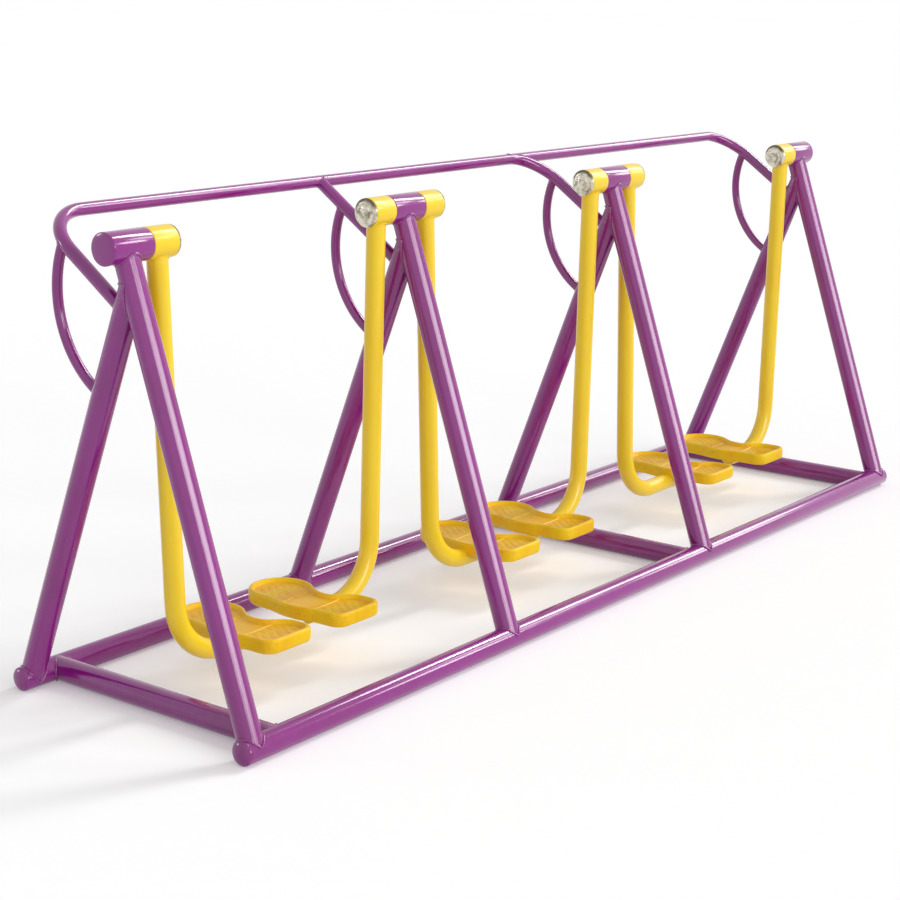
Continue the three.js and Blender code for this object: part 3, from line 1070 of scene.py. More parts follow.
@dataclass(frozen=True)
class MetalFinish:
    """Bare or plated metal turned about the hub line."""

    name: str
    slot: str
    colour: tuple[float, float, float]
    # Random deep tone of the metal, and also the colour of its painted dark reflection.
    stain: tuple[float, float, float]
    # Strength and roughness of the painted dark reflection near the top of the rim.
    tarnish: float = 0.0
    tarnish_roughness: float = 0.25
    smooth: float = 0.10
    dull: float = 0.26
    patch_scale: float = 55.0
    mottle_scale: float = 420.0
    mark_scale: float = 260.0
    mark: float = 0.05
    mark_depth: float = 0.0003

    def build(self, groups: SurfaceGroups) -> bpy.types.Material:
        """Build the material.

        Args:
            groups: The shared node groups.

        Returns:
            The material.
        """
        material, sheet, shader = start_material(self.name, Metallic=1.0)
        place = sheet.node("ShaderNodeTexCoord").outputs["Object"]
        centred = sheet.node(
            "ShaderNodeMapping", Location=(0.0, 0.0, -Machine().hub_height), Vector=place
        ).outputs["Vector"]
        tone = groups.place(
            sheet, "paint_tone", place, Base=self.colour, Deep=self.stain, Light=self.colour,
            Patch_Scale=self.patch_scale, Mottle_Scale=self.mottle_scale, Smooth=self.smooth,
            Dull=self.dull,
        )
        colour = tone["Color"]
        rough = tone["Roughness"]
        # Painted dark reflection: the stain colour mixed in near the top of the rim.
        if self.tarnish > 0:
            dark_reflection = groups.place(sheet, "rain_tarnish", centred, Amount=self.tarnish)
            colour = sheet.mix(dark_reflection["Mask"], colour, self.stain)
            rough = sheet.total(rough, sheet.product(dark_reflection["Mask"], self.tarnish_roughness))
        marks = groups.place(sheet, "turning_marks", centred, Scale=self.mark_scale)
        sheet.put(shader.inputs["Base Color"], colour)
        sheet.put(shader.inputs["Roughness"], rough)
        sheet.put(shader.inputs["Normal"], sheet.bump(marks["Height"], self.mark, self.mark_depth))
        return material


@dataclass
class Finishes:
    """Every finish of the machine, built once."""

    groups: SurfaceGroups
    materials: dict[str, bpy.types.Material] = field(default_factory=dict)

    purple: PaintFinish = PaintFinish(
        name="purple_gloss_paint", slot="purple_paint",
        base=(0.252, 0.005, 0.214), deep=(0.208, 0.004, 0.160), light=(0.275, 0.009, 0.248),
        coat=0.48, coat_roughness=0.05, smooth=0.09, dull=0.19, dust_amount=0.10, dust_top=0.12,
    )
    yellow: PaintFinish = PaintFinish(
        name="yellow_gloss_paint", slot="yellow_paint",
        base=(0.895, 0.620, 0.006), deep=(0.870, 0.560, 0.004), light=(0.910, 0.680, 0.016),
        rub=(0.70, 0.46, 0.10), rub_amount=0.25, dust_amount=0.22, smooth=0.26, dull=0.40,
        coat=0.20,
    )
    tread: PaintFinish = PaintFinish(
        name="yellow_tread_paint", slot="yellow_paint",
        base=(0.900, 0.590, 0.006), deep=(0.880, 0.440, 0.005), light=(0.920, 0.680, 0.016),
        rub=(0.92, 0.68, 0.10), rub_amount=0.5, scuff=(0.62, 0.22, 0.02), scuff_amount=0.35,
        dust_amount=0.10, smooth=0.30, dull=0.46, coat=0.0, peel=0.16, patch_scale=14.0,
        specular=0.28, sunken=(0.860, 0.400, 0.004), sunken_amount=0.60,
    )
    # The plating carries a strong painted dark reflection at the top of its rim.
    plated: MetalFinish = MetalFinish(
        name="polished_plating", slot="bright_steel",
        colour=(0.68, 0.65, 0.53), stain=(0.085, 0.068, 0.036), tarnish=0.92, mark=0.02,
    )
    turned_steel: MetalFinish = MetalFinish(
        name="turned_shaft_steel", slot="shaft_steel",
        colour=(0.44, 0.45, 0.46), stain=(0.20, 0.18, 0.16), smooth=0.26, dull=0.45, mark=0.12,
    )
    ground_steel: MetalFinish = MetalFinish(
        name="ground_bearing_steel", slot="bearing_steel",
        colour=(0.52, 0.52, 0.52), stain=(0.24, 0.23, 0.22), smooth=0.20, dull=0.38, mark=0.08,
    )

    def build(self) -> "Finishes":
        """Build the materials of all finishes.

        Returns:
            This object.
        """
        for finish in (
            self.purple, self.yellow, self.tread, self.plated, self.turned_steel, self.ground_steel,
        ):
            self.materials[finish.name] = finish.build(self.groups)
        return self

    def mount(
        self, shell: Shell, node: str, finish: PaintFinish | MetalFinish, body: str = "frame",
        sharp_degrees: float = SMOOTH_TURN_DEGREES,
    ) -> None:
        """Turn a shell into a dressed piece that stands for a node and rides on its body.

        Args:
            shell: The shape of the piece.
            node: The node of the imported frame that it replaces.
            finish: The finish all over it.
            body: The body that it rides on.
            sharp_degrees: Edges that turn more than this stay sharp.
        """
        piece = shell.to_object(f"{node}_shaped", sharp_degrees)
        piece.data.materials.append(self.materials[finish.name])
        hang(piece, body, node)

    def mount_trim(self, piece: bpy.types.Object, finish: PaintFinish, body: str) -> None:
        """Hang a piece that has its paint already on its body."""
        hang(piece, body)

    def dress_node(self, node: str, finish: PaintFinish | MetalFinish) -> None:
        """Give a node that keeps its solid a finish, in its own material slots.

        Args:
            node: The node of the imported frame.
            finish: The finish all over it.
        """
        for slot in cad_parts[node].material_slots:
            slot.material = self.materials[finish.name]
        LOG.info("%s keeps its solid", node)


def hang(piece: bpy.types.Object, body: str, *nodes: str) -> None:
    """Hang a piece on a body, in place of the nodes that it stands for.

    Args:
        piece: The piece.
        body: Name of the body.
        *nodes: Names of the nodes that it replaces.
    """
    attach(piece, body)
    if nodes:
        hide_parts(*nodes)
    LOG.info("%s rides on %s, %d faces", piece.name, body, len(piece.data.polygons))


# Pieces that repeat


def run_nodes(
    name: str, data: tuple[list, list, list], tree: bpy.types.NodeTree, values: dict[str, object]
) -> bpy.types.Object:
    """Run a node tree on plain geometry and bake what it makes.

    Args:
        name: Name of the piece.
        data: Points, edges and faces that the tree starts from.
        tree: The Geometry Nodes tree.
        values: Values of its inputs by name.

    Returns:
        The result as one plain object.
    """
    start = bpy.data.meshes.new(name)
    start.from_pydata(*data)
    piece = bpy.data.objects.new(name, start)
    bpy.context.scene.collection.objects.link(piece)
    modifier = piece.modifiers.new(tree.name, "NODES")
    modifier.node_group = tree
    for socket in tree.interface.items_tree:
        if socket.item_type == "SOCKET" and socket.name in values:
            modifier[socket.identifier] = values[socket.name]
    shown = piece.evaluated_get(bpy.context.evaluated_depsgraph_get())
    made = bpy.data.meshes.new_from_object(shown)
    piece.modifiers.clear()
    piece.data = made
    bpy.data.meshes.remove(start)
    made.name = name
    return piece


@dataclass
class GrownTrim:
    """Trim that a Geometry Nodes tree grows in one paint."""

    tree_name: ClassVar[str]

    def inputs(self) -> dict[str, object]:
        """Starting values of the tree's own inputs."""
        raise NotImplementedError

    def grow(
        self, sheet: NodeSheet, given: bpy.types.bpy_prop_collection
    ) -> bpy.types.NodeSocket:
        """Place the nodes that make the trim and give the geometry."""
        raise NotImplementedError

    @cached_property
    def tree(self) -> bpy.types.NodeTree:
        """Build the tree, which ends by making its instances real and painting them.

        Returns:
            The tree, built once.
        """
        sheet, given, result = start_tree(
            self.tree_name, "GeometryNodeTree",
            {"Geometry": None, **self.inputs(), "Material": None}, {"Geometry": None},
        )
        sheet.tree.is_modifier = True
        real = sheet.node("GeometryNodeRealizeInstances", Geometry=self.grow(sheet, given))
        painted = sheet.node(
            "GeometryNodeSetMaterial", Geometry=real.outputs[0], Material=given["Material"]
        )
        sheet.put(result["Geometry"], painted.outputs[0])
        return sheet.tree


@dataclass
class WeldBeads(GrownTrim):
    """Painted weld beads with their ripples, laid along the seams between tubes."""

    tree_name: ClassVar[str] = "weld_bead"
    pitch: float = 0.0042
    steps_per_ripple: float = 3.0
    ripple: float = 0.10
    least: float = 0.78
    wander: float = 0.3
    wander_scale: float = 70.0
    section: int = 8
    seed: float = 3.0
    floor_clearance: float = 1.3

    def inputs(self) -> dict[str, object]:
        """Starting values of the tree's own inputs."""
        return {
            "Bead Radius": 0.0026, "Ripple Pitch": self.pitch, "Ripple": self.ripple,
            "Section Points": self.section, "Seed": self.seed,
        }

    def grow(
        self, sheet: NodeSheet, given: bpy.types.bpy_prop_collection
    ) -> bpy.types.NodeSocket:
        """Sweep a small circle along the seam lines, thicker at each ripple.

        Args:
            sheet: Sheet of the tree.
            given: The inputs of the tree.

        Returns:
            The beads.
        """
        line = sheet.node("GeometryNodeMeshToCurve", Mesh=given["Geometry"])
        even = sheet.node(
            "GeometryNodeResampleCurve", mode="LENGTH", Curve=line.outputs[0],
            Length=sheet.math("DIVIDE", given["Ripple Pitch"], self.steps_per_ripple),
        )
        reach = sheet.node("GeometryNodeSplineParameter").outputs["Length"]
        turns = sheet.math("DIVIDE", reach, given["Ripple Pitch"])
        wave = sheet.math("ABSOLUTE", sheet.math("SINE", sheet.product(turns, math.pi)))
        wander = sheet.node(
            "ShaderNodeTexNoise", noise_dimensions="4D", W=given["Seed"], Scale=self.wander_scale,
            Vector=sheet.node("GeometryNodeInputPosition").outputs[0],
        )
        swell = sheet.total(sheet.product(wave, given["Ripple"]), self.least)
        uneven = sheet.total(sheet.product(wander.outputs[0], self.wander), -self.wander / 2)
        section = sheet.node(
            "GeometryNodeCurvePrimitiveCircle", Resolution=given["Section Points"], Radius=1.0
        )
        swept = sheet.node(
            "GeometryNodeCurveToMesh", Curve=even.outputs[0], Profile_Curve=section.outputs[0],
            Scale=sheet.product(sheet.total(swell, uneven), given["Bead Radius"]), Fill_Caps=True,
        )
        smooth = sheet.node("GeometryNodeSetShadeSmooth")
        sheet.put(smooth.inputs[0], swept.outputs[0])
        return smooth.outputs[0]

    def lay(
        self, name: str, seams: Iterable[np.ndarray], radius: float, material: bpy.types.Material,
        closed: bool = True,
    ) -> bpy.types.Object:
        """Lay beads along seams, clear of the floor, and bake them to one mesh.

        Args:
            name: Name of the piece.
            seams: Lines of points.
            radius: Radius of the beads.
            material: Paint of the beads.
            closed: Whether the seams close on themselves.

        Returns:
            The beads as one plain object.
        """
        points: list[tuple[float, ...]] = []
        edges: list[tuple[int, int]] = []
        low = radius * self.floor_clearance
        for seam in seams:
            first = len(points)
            points.extend((float(x), float(y), max(float(z), low)) for x, y, z in seam)
            last = len(points) - 1
            edges.extend((index, index + 1) for index in range(first, last))
            if closed:
                edges.append((last, first))
        values = {**self.inputs(), "Bead Radius": radius, "Material": material}
        return run_nodes(name, (points, edges, []), self.tree, values)


@dataclass
class TreadStuds(GrownTrim):
    """Raised oval studs in staggered rows, kept inside the outline of a pad."""

    tree_name: ClassVar[str] = "tread_studs"
    length: float = 0.024
    width: float = 0.0062
    height: float = 0.0015
    column_pitch: float = 0.0125
    row_pitch: float = 0.0150
    columns: int = 15
    rows: int = 25
    facets: int = 14
    crown: float = 0.34
    ray_start: float = 0.01
    ray_length: float = 0.05

    def inputs(self) -> dict[str, object]:
        """Starting values of the tree's own inputs."""
        return {
            "Centre": (0.0, 0.0, 0.0), "Length": self.length, "Width": self.width,
            "Height": self.height, "Column Pitch": self.column_pitch, "Row Pitch": self.row_pitch,
        }

    def pattern(
        self, sheet: NodeSheet, given: bpy.types.bpy_prop_collection
    ) -> bpy.types.NodeSocket:
        """Place a grid of points about the centre, with every other point left out.

        Args:
            sheet: Sheet of the tree.
            given: The inputs of the tree.

        Returns:
            The points.
        """
        grid = sheet.node(
            "GeometryNodeMeshGrid", Vertices_X=self.columns, Vertices_Y=self.rows,
            Size_X=sheet.product(given["Column Pitch"], self.columns - 1.0),
            Size_Y=sheet.product(given["Row Pitch"], self.rows - 1.0),
        )
        number = sheet.node("GeometryNodeInputIndex").outputs[0]
        rows = float(self.rows)
        column = sheet.math("FLOOR", sheet.math("DIVIDE", sheet.total(number, 0.5), rows))
        row = sheet.math("SUBTRACT", number, sheet.product(column, rows))
        odd = sheet.math("MODULO", sheet.total(column, row), 2.0)
        thinned = sheet.node(
            "GeometryNodeDeleteGeometry", domain="POINT", Geometry=grid.outputs["Mesh"],
            Selection=sheet.math("GREATER_THAN", odd, 0.5),
        )
        moved = sheet.node(
            "GeometryNodeSetPosition", Geometry=thinned.outputs[0], Offset=given["Centre"]
        )
        return moved.outputs[0]

    def grow(
        self, sheet: NodeSheet, given: bpy.types.bpy_prop_collection
    ) -> bpy.types.NodeSocket:
        """Put a stud on each point whose middle and both ends lie over a pad.

        Args:
            sheet: Sheet of the tree.
            given: The inputs of the tree.

        Returns:
            The studs.
        """
        points = self.pattern(sheet, given)
        half = sheet.product(given["Length"], 0.5)
        place = sheet.node("GeometryNodeInputPosition").outputs[0]
        hits = []
        for side in (-1.0, 0.0, 1.0):
            offset = sheet.node(
                "ShaderNodeCombineXYZ", Y=sheet.product(half, side), Z=self.ray_start
            )
            start = sheet.node("ShaderNodeVectorMath", operation="ADD")
            sheet.put(start.inputs[0], place)
            sheet.put(start.inputs[1], offset.outputs[0])
            ray = sheet.node(
                "GeometryNodeRaycast", Target_Geometry=given["Geometry"],
                Source_Position=start.outputs[0], Ray_Direction=(0.0, 0.0, -1.0),
                Ray_Length=self.ray_length,
            )
            hits.append(ray.outputs["Is Hit"])
        kept = sheet.node(
            "GeometryNodeDeleteGeometry", domain="POINT", Geometry=points,
            Selection=sheet.math("LESS_THAN", sheet.product(*hits), 0.5),
        )
        stud = sheet.node(
            "GeometryNodeMeshCone", Vertices=self.facets, Side_Segments=2, Radius_Top=self.crown,
            Radius_Bottom=0.5, Depth=1.0,
        )
        size = sheet.node(
            "ShaderNodeCombineXYZ", X=given["Width"], Y=given["Length"], Z=given["Height"]
        )
        placed = sheet.node(
            "GeometryNodeInstanceOnPoints", Points=kept.outputs[0], Instance=stud.outputs["Mesh"],
            Scale=size.outputs[0],
        )
        return placed.outputs[0]

    def fill(
        self, name: str, pads: Sequence[np.ndarray], centre: np.ndarray,
        material: bpy.types.Material,
    ) -> bpy.types.Object:
        """Fill flat pads with studs and bake them to one mesh.

        Args:
            name: Name of the piece.
            pads: Outlines of the pads, each flat and closed.
            centre: Middle of the stud pattern.
            material: Paint of the studs.

        Returns:
            The studs as one plain object.
        """
        points: list[tuple[float, ...]] = []
        faces: list[tuple[int, ...]] = []
        for pad in pads:
            first = len(points)
            points.extend(tuple(map(float, point)) for point in pad)
            faces.append(tuple(range(first, len(points))))
        values = {**self.inputs(), "Centre": tuple(map(float, centre)), "Material": material}
        return run_nodes(name, (points, [], faces), self.tree, values)


# Sub-assemblies


@dataclass
class GroundFrame:
    """Two ground rails with end caps, and the three cross tubes between them."""

    sizes: Machine
    finishes: Finishes
    segments: int = 56
    rail_edge: float = 0.0008
    cap_plug: float = 0.004
    cap_plug_gap: float = 0.0035
    cap_rim: float = 0.0013
    cap_dome: float = 0.0105
    cap_fullness: float = 0.9
    cap_steps: int = 16
    bead_sink: float = 0.0050
    seams: list[np.ndarray] = field(default_factory=list)

    def rail(self, side: RailSide) -> RoundBar:
        """One ground rail as a bar.

        Args:
            side: Front or rear.

        Returns:
            The bar, from the left end to the right.
        """
        reach = sum(self.sizes.bays) / 2 + self.sizes.rail_overhang
        y = side.value * self.sizes.rail_y
        z = self.sizes.leg_radius
        return RoundBar(
            Route.straight(np.array([-reach, y, z]), np.array([reach, y, z])),
            self.sizes.leg_radius,
        )

    def build_cap(self, side: RailSide, end: End) -> None:
        """Domed cap pressed into one end of a rail.

        Args:
            side: Front or rear rail.
            end: Left or right end.
        """
        radius = self.sizes.leg_radius
        place = self.rail(side).route.points[0 if end is End.LEFT else 1]
        plug = radius - self.cap_plug_gap
        profile = [(-self.cap_plug, 0.0), (-self.cap_plug, plug), (0.0, plug)]
        profile += [(0.0002, radius - 0.0008), (0.0006, radius - 0.0001), (self.cap_rim, radius)]
        for step in range(1, self.cap_steps + 1):
            angle = math.pi / 2 * step / self.cap_steps
            along = self.cap_rim + self.cap_dome * math.sin(angle)
            profile.append((along, radius * max(math.cos(angle), 0.0) ** self.cap_fullness))
        profile[-1] = (self.cap_rim + self.cap_dome, 0.0)
        shell = Shell()
        turned(shell, profile, place, end.value, self.segments)
        name = f"{side.name.lower()}_rail_{end.name.lower()}_cap"
        self.finishes.mount(shell, name, self.finishes.purple)

    def build(self) -> None:
        """Build the rails, their caps and the cross tubes."""
        for side in RailSide:
            bar = self.rail(side)
            shell = Shell()
            Tube(bar.route, bar.radius, self.segments, edge=self.rail_edge).build(shell)
            name = f"{side.name.lower()}_ground_rail"
            self.finishes.mount(shell, name, self.finishes.purple)
            for end in End:
                self.build_cap(side, end)
        offset = self.sizes.cross_offset
        offsets = {1: offset, 3: -offset, 4: -self.sizes.last_cross_offset}
        for number, offset in offsets.items():
            x = self.sizes.frame_x(number - 1) + offset
            z = self.sizes.leg_radius
            route = Route.straight(
                np.array([x, -self.sizes.rail_y, z]), np.array([x, self.sizes.rail_y, z])
            )
            shell = Shell()
            self.seams += Tube(
                route, self.sizes.cross_radius, self.segments,
                start=self.rail(RailSide.FRONT), end=self.rail(RailSide.REAR),
            ).build(shell)
            self.finishes.mount(shell, f"cross_tube_{number}", self.finishes.purple)
        crest = 2 * self.sizes.leg_radius - self.bead_sink
        for seam in self.seams:
            seam[:, 2] = np.minimum(seam[:, 2], crest)


@dataclass
class LegFrames:
    """Four leg frames: a front leg up to the hub and a rear leg against it."""

    sizes: Machine
    finishes: Finishes
    ground: GroundFrame
    segments: int = 56
    seams: list[np.ndarray] = field(default_factory=list)

    def hub(self, index: int) -> RoundBar:
        """The hub tube of one frame as a bar.

        Args:
            index: Number of the leg frame.

        Returns:
            The bar, from its left end to its right.
        """
        reach = np.array([self.sizes.hub_half_length, 0.0, 0.0])
        centre = self.sizes.hub_centre(index)
        return RoundBar(Route.straight(centre - reach, centre + reach), self.sizes.hub_radius)

    def front_leg(self, index: int) -> RoundBar:
        """A front leg as a bar, from the rail's line to the hub's.

        Args:
            index: Number of the leg frame.

        Returns:
            The bar.
        """
        route = Route.straight(
            self.sizes.foot(index, RailSide.FRONT), self.sizes.hub_centre(index)
        )
        return RoundBar(route, self.sizes.leg_radius)

    def rear_leg(self, index: int) -> RoundBar:
        """A rear leg as a bar, from the rail's line to the front leg's."""
        route = Route.straight(self.sizes.foot(index, RailSide.REAR), self.sizes.rear_top(index))
        return RoundBar(route, self.sizes.leg_radius)

    def build_leg(self, name: str, bar: RoundBar, foot: RoundBar, top: RoundBar) -> None:
        """Build one leg, cut to fit its rail and what carries its top.

        Args:
            name: Name of the leg.
            bar: The leg.
            foot: The rail under it.
            top: The bar that carries its top.
        """
        shell = Shell()
        self.seams += Tube(bar.route, bar.radius, self.segments, start=foot, end=top).build(shell)
        self.finishes.mount(shell, name, self.finishes.purple)

    def build(self) -> None:
        """Build all eight legs."""
        front_rail = self.ground.rail(RailSide.FRONT)
        rear_rail = self.ground.rail(RailSide.REAR)
        for index in range(FRAME_COUNT):
            front = self.front_leg(index)
            self.build_leg(f"front_leg_{index + 1}", front, front_rail, self.hub(index))
            self.build_leg(f"rear_leg_{index + 1}", self.rear_leg(index), rear_rail, front)


@dataclass
class Handrail:
    """The bent handrail with its arms and the curved braces under them."""

    sizes: Machine
    finishes: Finishes
    legs: LegFrames
    segments: int = 40
    brace_segments: int = 32
    bead: float = 0.0020
    seams: list[np.ndarray] = field(default_factory=list)

    def attach(self, index: int) -> np.ndarray:
        """Point on a rear leg's line where its handrail arm starts."""
        return self.sizes.on_rear_leg(index, self.sizes.handrail_attach)

    def left_bar(self) -> RoundBar:
        """The left handrail tube, which comes down again at the third frame.

        Returns:
            The bar, from the first frame to the third.
        """
        corners = [
            self.attach(0), self.sizes.rail_corner(0), self.sizes.rail_corner(2), self.attach(2),
        ]
        return RoundBar(Route.bent(corners, self.sizes.handrail_bend), self.sizes.handrail_radius)

    def right_bar(self) -> RoundBar:
        """The right handrail tube, which starts at the left tube's bend.

        Returns:
            The bar, from the third frame to the fourth.
        """
        back = self.sizes.handrail_bend * (1 - self.sizes.handrail_join)
        start = self.sizes.rail_corner(2) - np.array([back, 0.0, 0.0])
        corners = [start, self.sizes.rail_corner(3), self.attach(3)]
        return RoundBar(Route.bent(corners, self.sizes.handrail_bend), self.sizes.handrail_radius)

    def middle_bar(self) -> RoundBar:
        """The straight arm at the second frame.

        Returns:
            The bar, from the rear leg to the left tube.
        """
        return RoundBar(
            Route.straight(self.attach(1), self.sizes.rail_corner(1)), self.sizes.handrail_radius
        )

    def brace(self, index: int) -> RoundBar:
        """The curved brace of one frame.

        Args:
            index: Number of the leg frame.

        Returns:
            The bar, from its top down.
        """
        corner = self.sizes.rail_corner(index)
        top = corner + (self.attach(index) - corner) * self.sizes.brace_top
        bottom = self.sizes.on_rear_leg(index, self.sizes.brace_bottom)
        route = Route.bowed(top, bottom, np.array([0.0, 1.0, 0.0]), self.sizes.brace_bow)
        return RoundBar(route, self.sizes.brace_radius)

    def build_piece(
        self, name: str, bar: RoundBar, segments: int, start: RoundBar, end: RoundBar
    ) -> None:
        """Build one tube of the handrail, cut to fit at both ends.

        Args:
            name: Name of the piece.
            bar: The tube.
            segments: Facets round the tube.
            start: The bar at its start.
            end: The bar at its end.
        """
        shell = Shell()
        self.seams += Tube(
            bar.route, bar.radius, segments, start=start, end=end, bead=self.bead
        ).build(shell)
        self.finishes.mount(shell, name, self.finishes.purple)

    def build(self) -> None:
        """Build the handrail tubes and the four braces."""
        left = self.left_bar()
        right = self.right_bar()
        middle = self.middle_bar()
        rear = [self.legs.rear_leg(index) for index in range(FRAME_COUNT)]
        self.build_piece("handrail_left", left, self.segments, rear[0], rear[2])
        self.build_piece("handrail_right", right, self.segments, left, rear[3])
        self.build_piece("handrail_arm_2", middle, self.segments, rear[1], left)
        for index, carrier in enumerate((left, middle, left, right)):
            self.build_piece(
                f"curved_brace_{index + 1}", self.brace(index), self.brace_segments,
                carrier, rear[index],
            )


@dataclass
class Hubs:
    """Hub tubes, their closed outer ends and the shafts that run in them."""

    sizes: Machine
    finishes: Finishes
    segments: int = 64
    bore: float = 0.0128
    edge: float = 0.0022
    bore_edge: float = 0.0004
    cap_plug: float = 0.0015
    cap_plug_gap: float = 0.0025
    cap_foot: float = 0.0008
    cap_thickness: float = 0.0045
    cap_rounding: float = 0.0340
    cap_steps: int = 12

    def build_hub(self, index: int) -> None:
        """Build one hub tube with eased edges.

        Args:
            index: Number of the leg frame.
        """
        half = self.sizes.hub_half_length
        radius = self.sizes.hub_radius
        corners = [
            (-half, self.bore, self.bore_edge), (-half, radius, self.edge),
            (half, radius, self.edge), (half, self.bore, self.bore_edge),
        ]
        shell = Shell()
        turned(
            shell, eased_profile(corners, loop=True), self.sizes.hub_centre(index),
            segments=self.segments, loop=True,
        )
        self.finishes.mount(shell, f"hub_{index + 1}", self.finishes.purple)

    def build_cap(self, index: int, end: End) -> None:
        """Build the closed and gently crowned end of an outer hub.

        Args:
            index: Number of the leg frame.
            end: Left or right end.
        """
        radius = self.sizes.hub_radius
        rise = self.cap_thickness - self.cap_foot
        profile = [(-self.cap_plug, 0.0), (-self.cap_plug, radius - self.cap_plug_gap)]
        profile.append((0.0002, radius - 0.0008))
        for step in range(self.cap_steps + 1):
            angle = math.pi / 2 * step / self.cap_steps
            along = self.cap_foot + rise * math.sin(angle)
            profile.append((along, radius - self.cap_rounding * (1 - math.cos(angle))))
        profile.append((self.cap_thickness, 0.0))
        shell = Shell()
        centre = self.sizes.hub_centre(index)
        centre = centre + np.array([end.value * self.sizes.hub_half_length, 0.0, 0.0])
        turned(shell, profile, centre, end.value, self.segments)
        self.finishes.mount(shell, f"{end.name.lower()}_hub_end_cap", self.finishes.purple)

    def build(self) -> None:
        """Build the hubs and dress the shafts."""
        for index in range(FRAME_COUNT):
            self.build_hub(index)
            self.finishes.dress_node(f"hub_shaft_{index + 1}", self.finishes.turned_steel)
        self.build_cap(0, End.LEFT)
        self.build_cap(FRAME_COUNT - 1, End.RIGHT)


@dataclass(frozen=True)
class Footprint:
    """Outline of a footplate: round toe, waist curved in on its right, and broad heel."""

    toe: float = 0.082
    left_waist: float = 0.097
    right_waist: float = 0.036
    heel: float = 0.084
    half_length: float = 0.179
    corner: float = 0.034
    toe_reach: float = 0.086
    toe_centre: float = 0.096
    waist_y: float = -0.026
    heel_y: float = -0.120
    side_steps: int = 18
    corner_steps: int = 10
    toe_steps: int = 48

    def side(self, waist: float, inset: float) -> list[tuple[float, float]]:
        """Right side of the outline with the given waist, from the toe to the heel's end.

        Args:
            waist: Half width at the waist.
            inset: Distance from the edge.

        Returns:
            Points down the side, the same count for every inset.
        """
        toe = self.toe - inset
        waist = waist - inset
        heel = self.heel - inset
        heel_end = -self.half_length + inset
        corner = self.corner - inset / 2
        points: list[tuple[float, float]] = []
        for first, second, start, end in (
            (toe, waist, self.toe_centre, self.waist_y), (waist, heel, self.waist_y, self.heel_y),
        ):
            middle = (start + end) / 2
            for share in np.linspace(0, 1, self.side_steps + 1)[1:]:
                keep = 1 - share
                early = keep**3 + 3 * keep**2 * share
                late = 3 * keep * share**2 + share**3
                along = start * keep**3 + 3 * middle * keep**2 * share
                along += 3 * middle * keep * share**2 + end * share**3
                points.append((first * early + second * late, along))
        for angle in np.linspace(0, math.pi / 2, self.corner_steps + 1):
            wide = heel - corner + corner * math.cos(angle)
            points.append((wide, heel_end + corner - corner * math.sin(angle)))
        return points

    def outline(self, inset: float) -> np.ndarray:
        """Outline drawn in from the edge.

        Args:
            inset: Distance from the edge.

        Returns:
            Points round the outline, the same count for every inset.
        """
        toe = self.toe - inset
        reach = self.toe_reach - inset
        points = [
            (toe * math.cos(angle), self.toe_centre + reach * math.sin(angle))
            for angle in np.linspace(0, math.pi, self.toe_steps + 1)
        ]
        points += [(-x, y) for x, y in self.side(self.left_waist, inset)]
        points += reversed(self.side(self.right_waist, inset))
        return np.array(points)

    def edge(self, along: float, side: int, inset: float = 0.0) -> float:
        """Place across the plate of one edge.

        Args:
            along: Place along the plate.
            side: Minus one for the left edge, plus one for the right edge.
            inset: Distance from the edge.

        Returns:
            The place across, with its sign.
        """
        outline = self.outline(inset)
        half = outline[outline[:, 0] * side > 0]
        order = np.argsort(half[:, 1])
        return float(np.interp(along, half[order, 1], half[order, 0]))


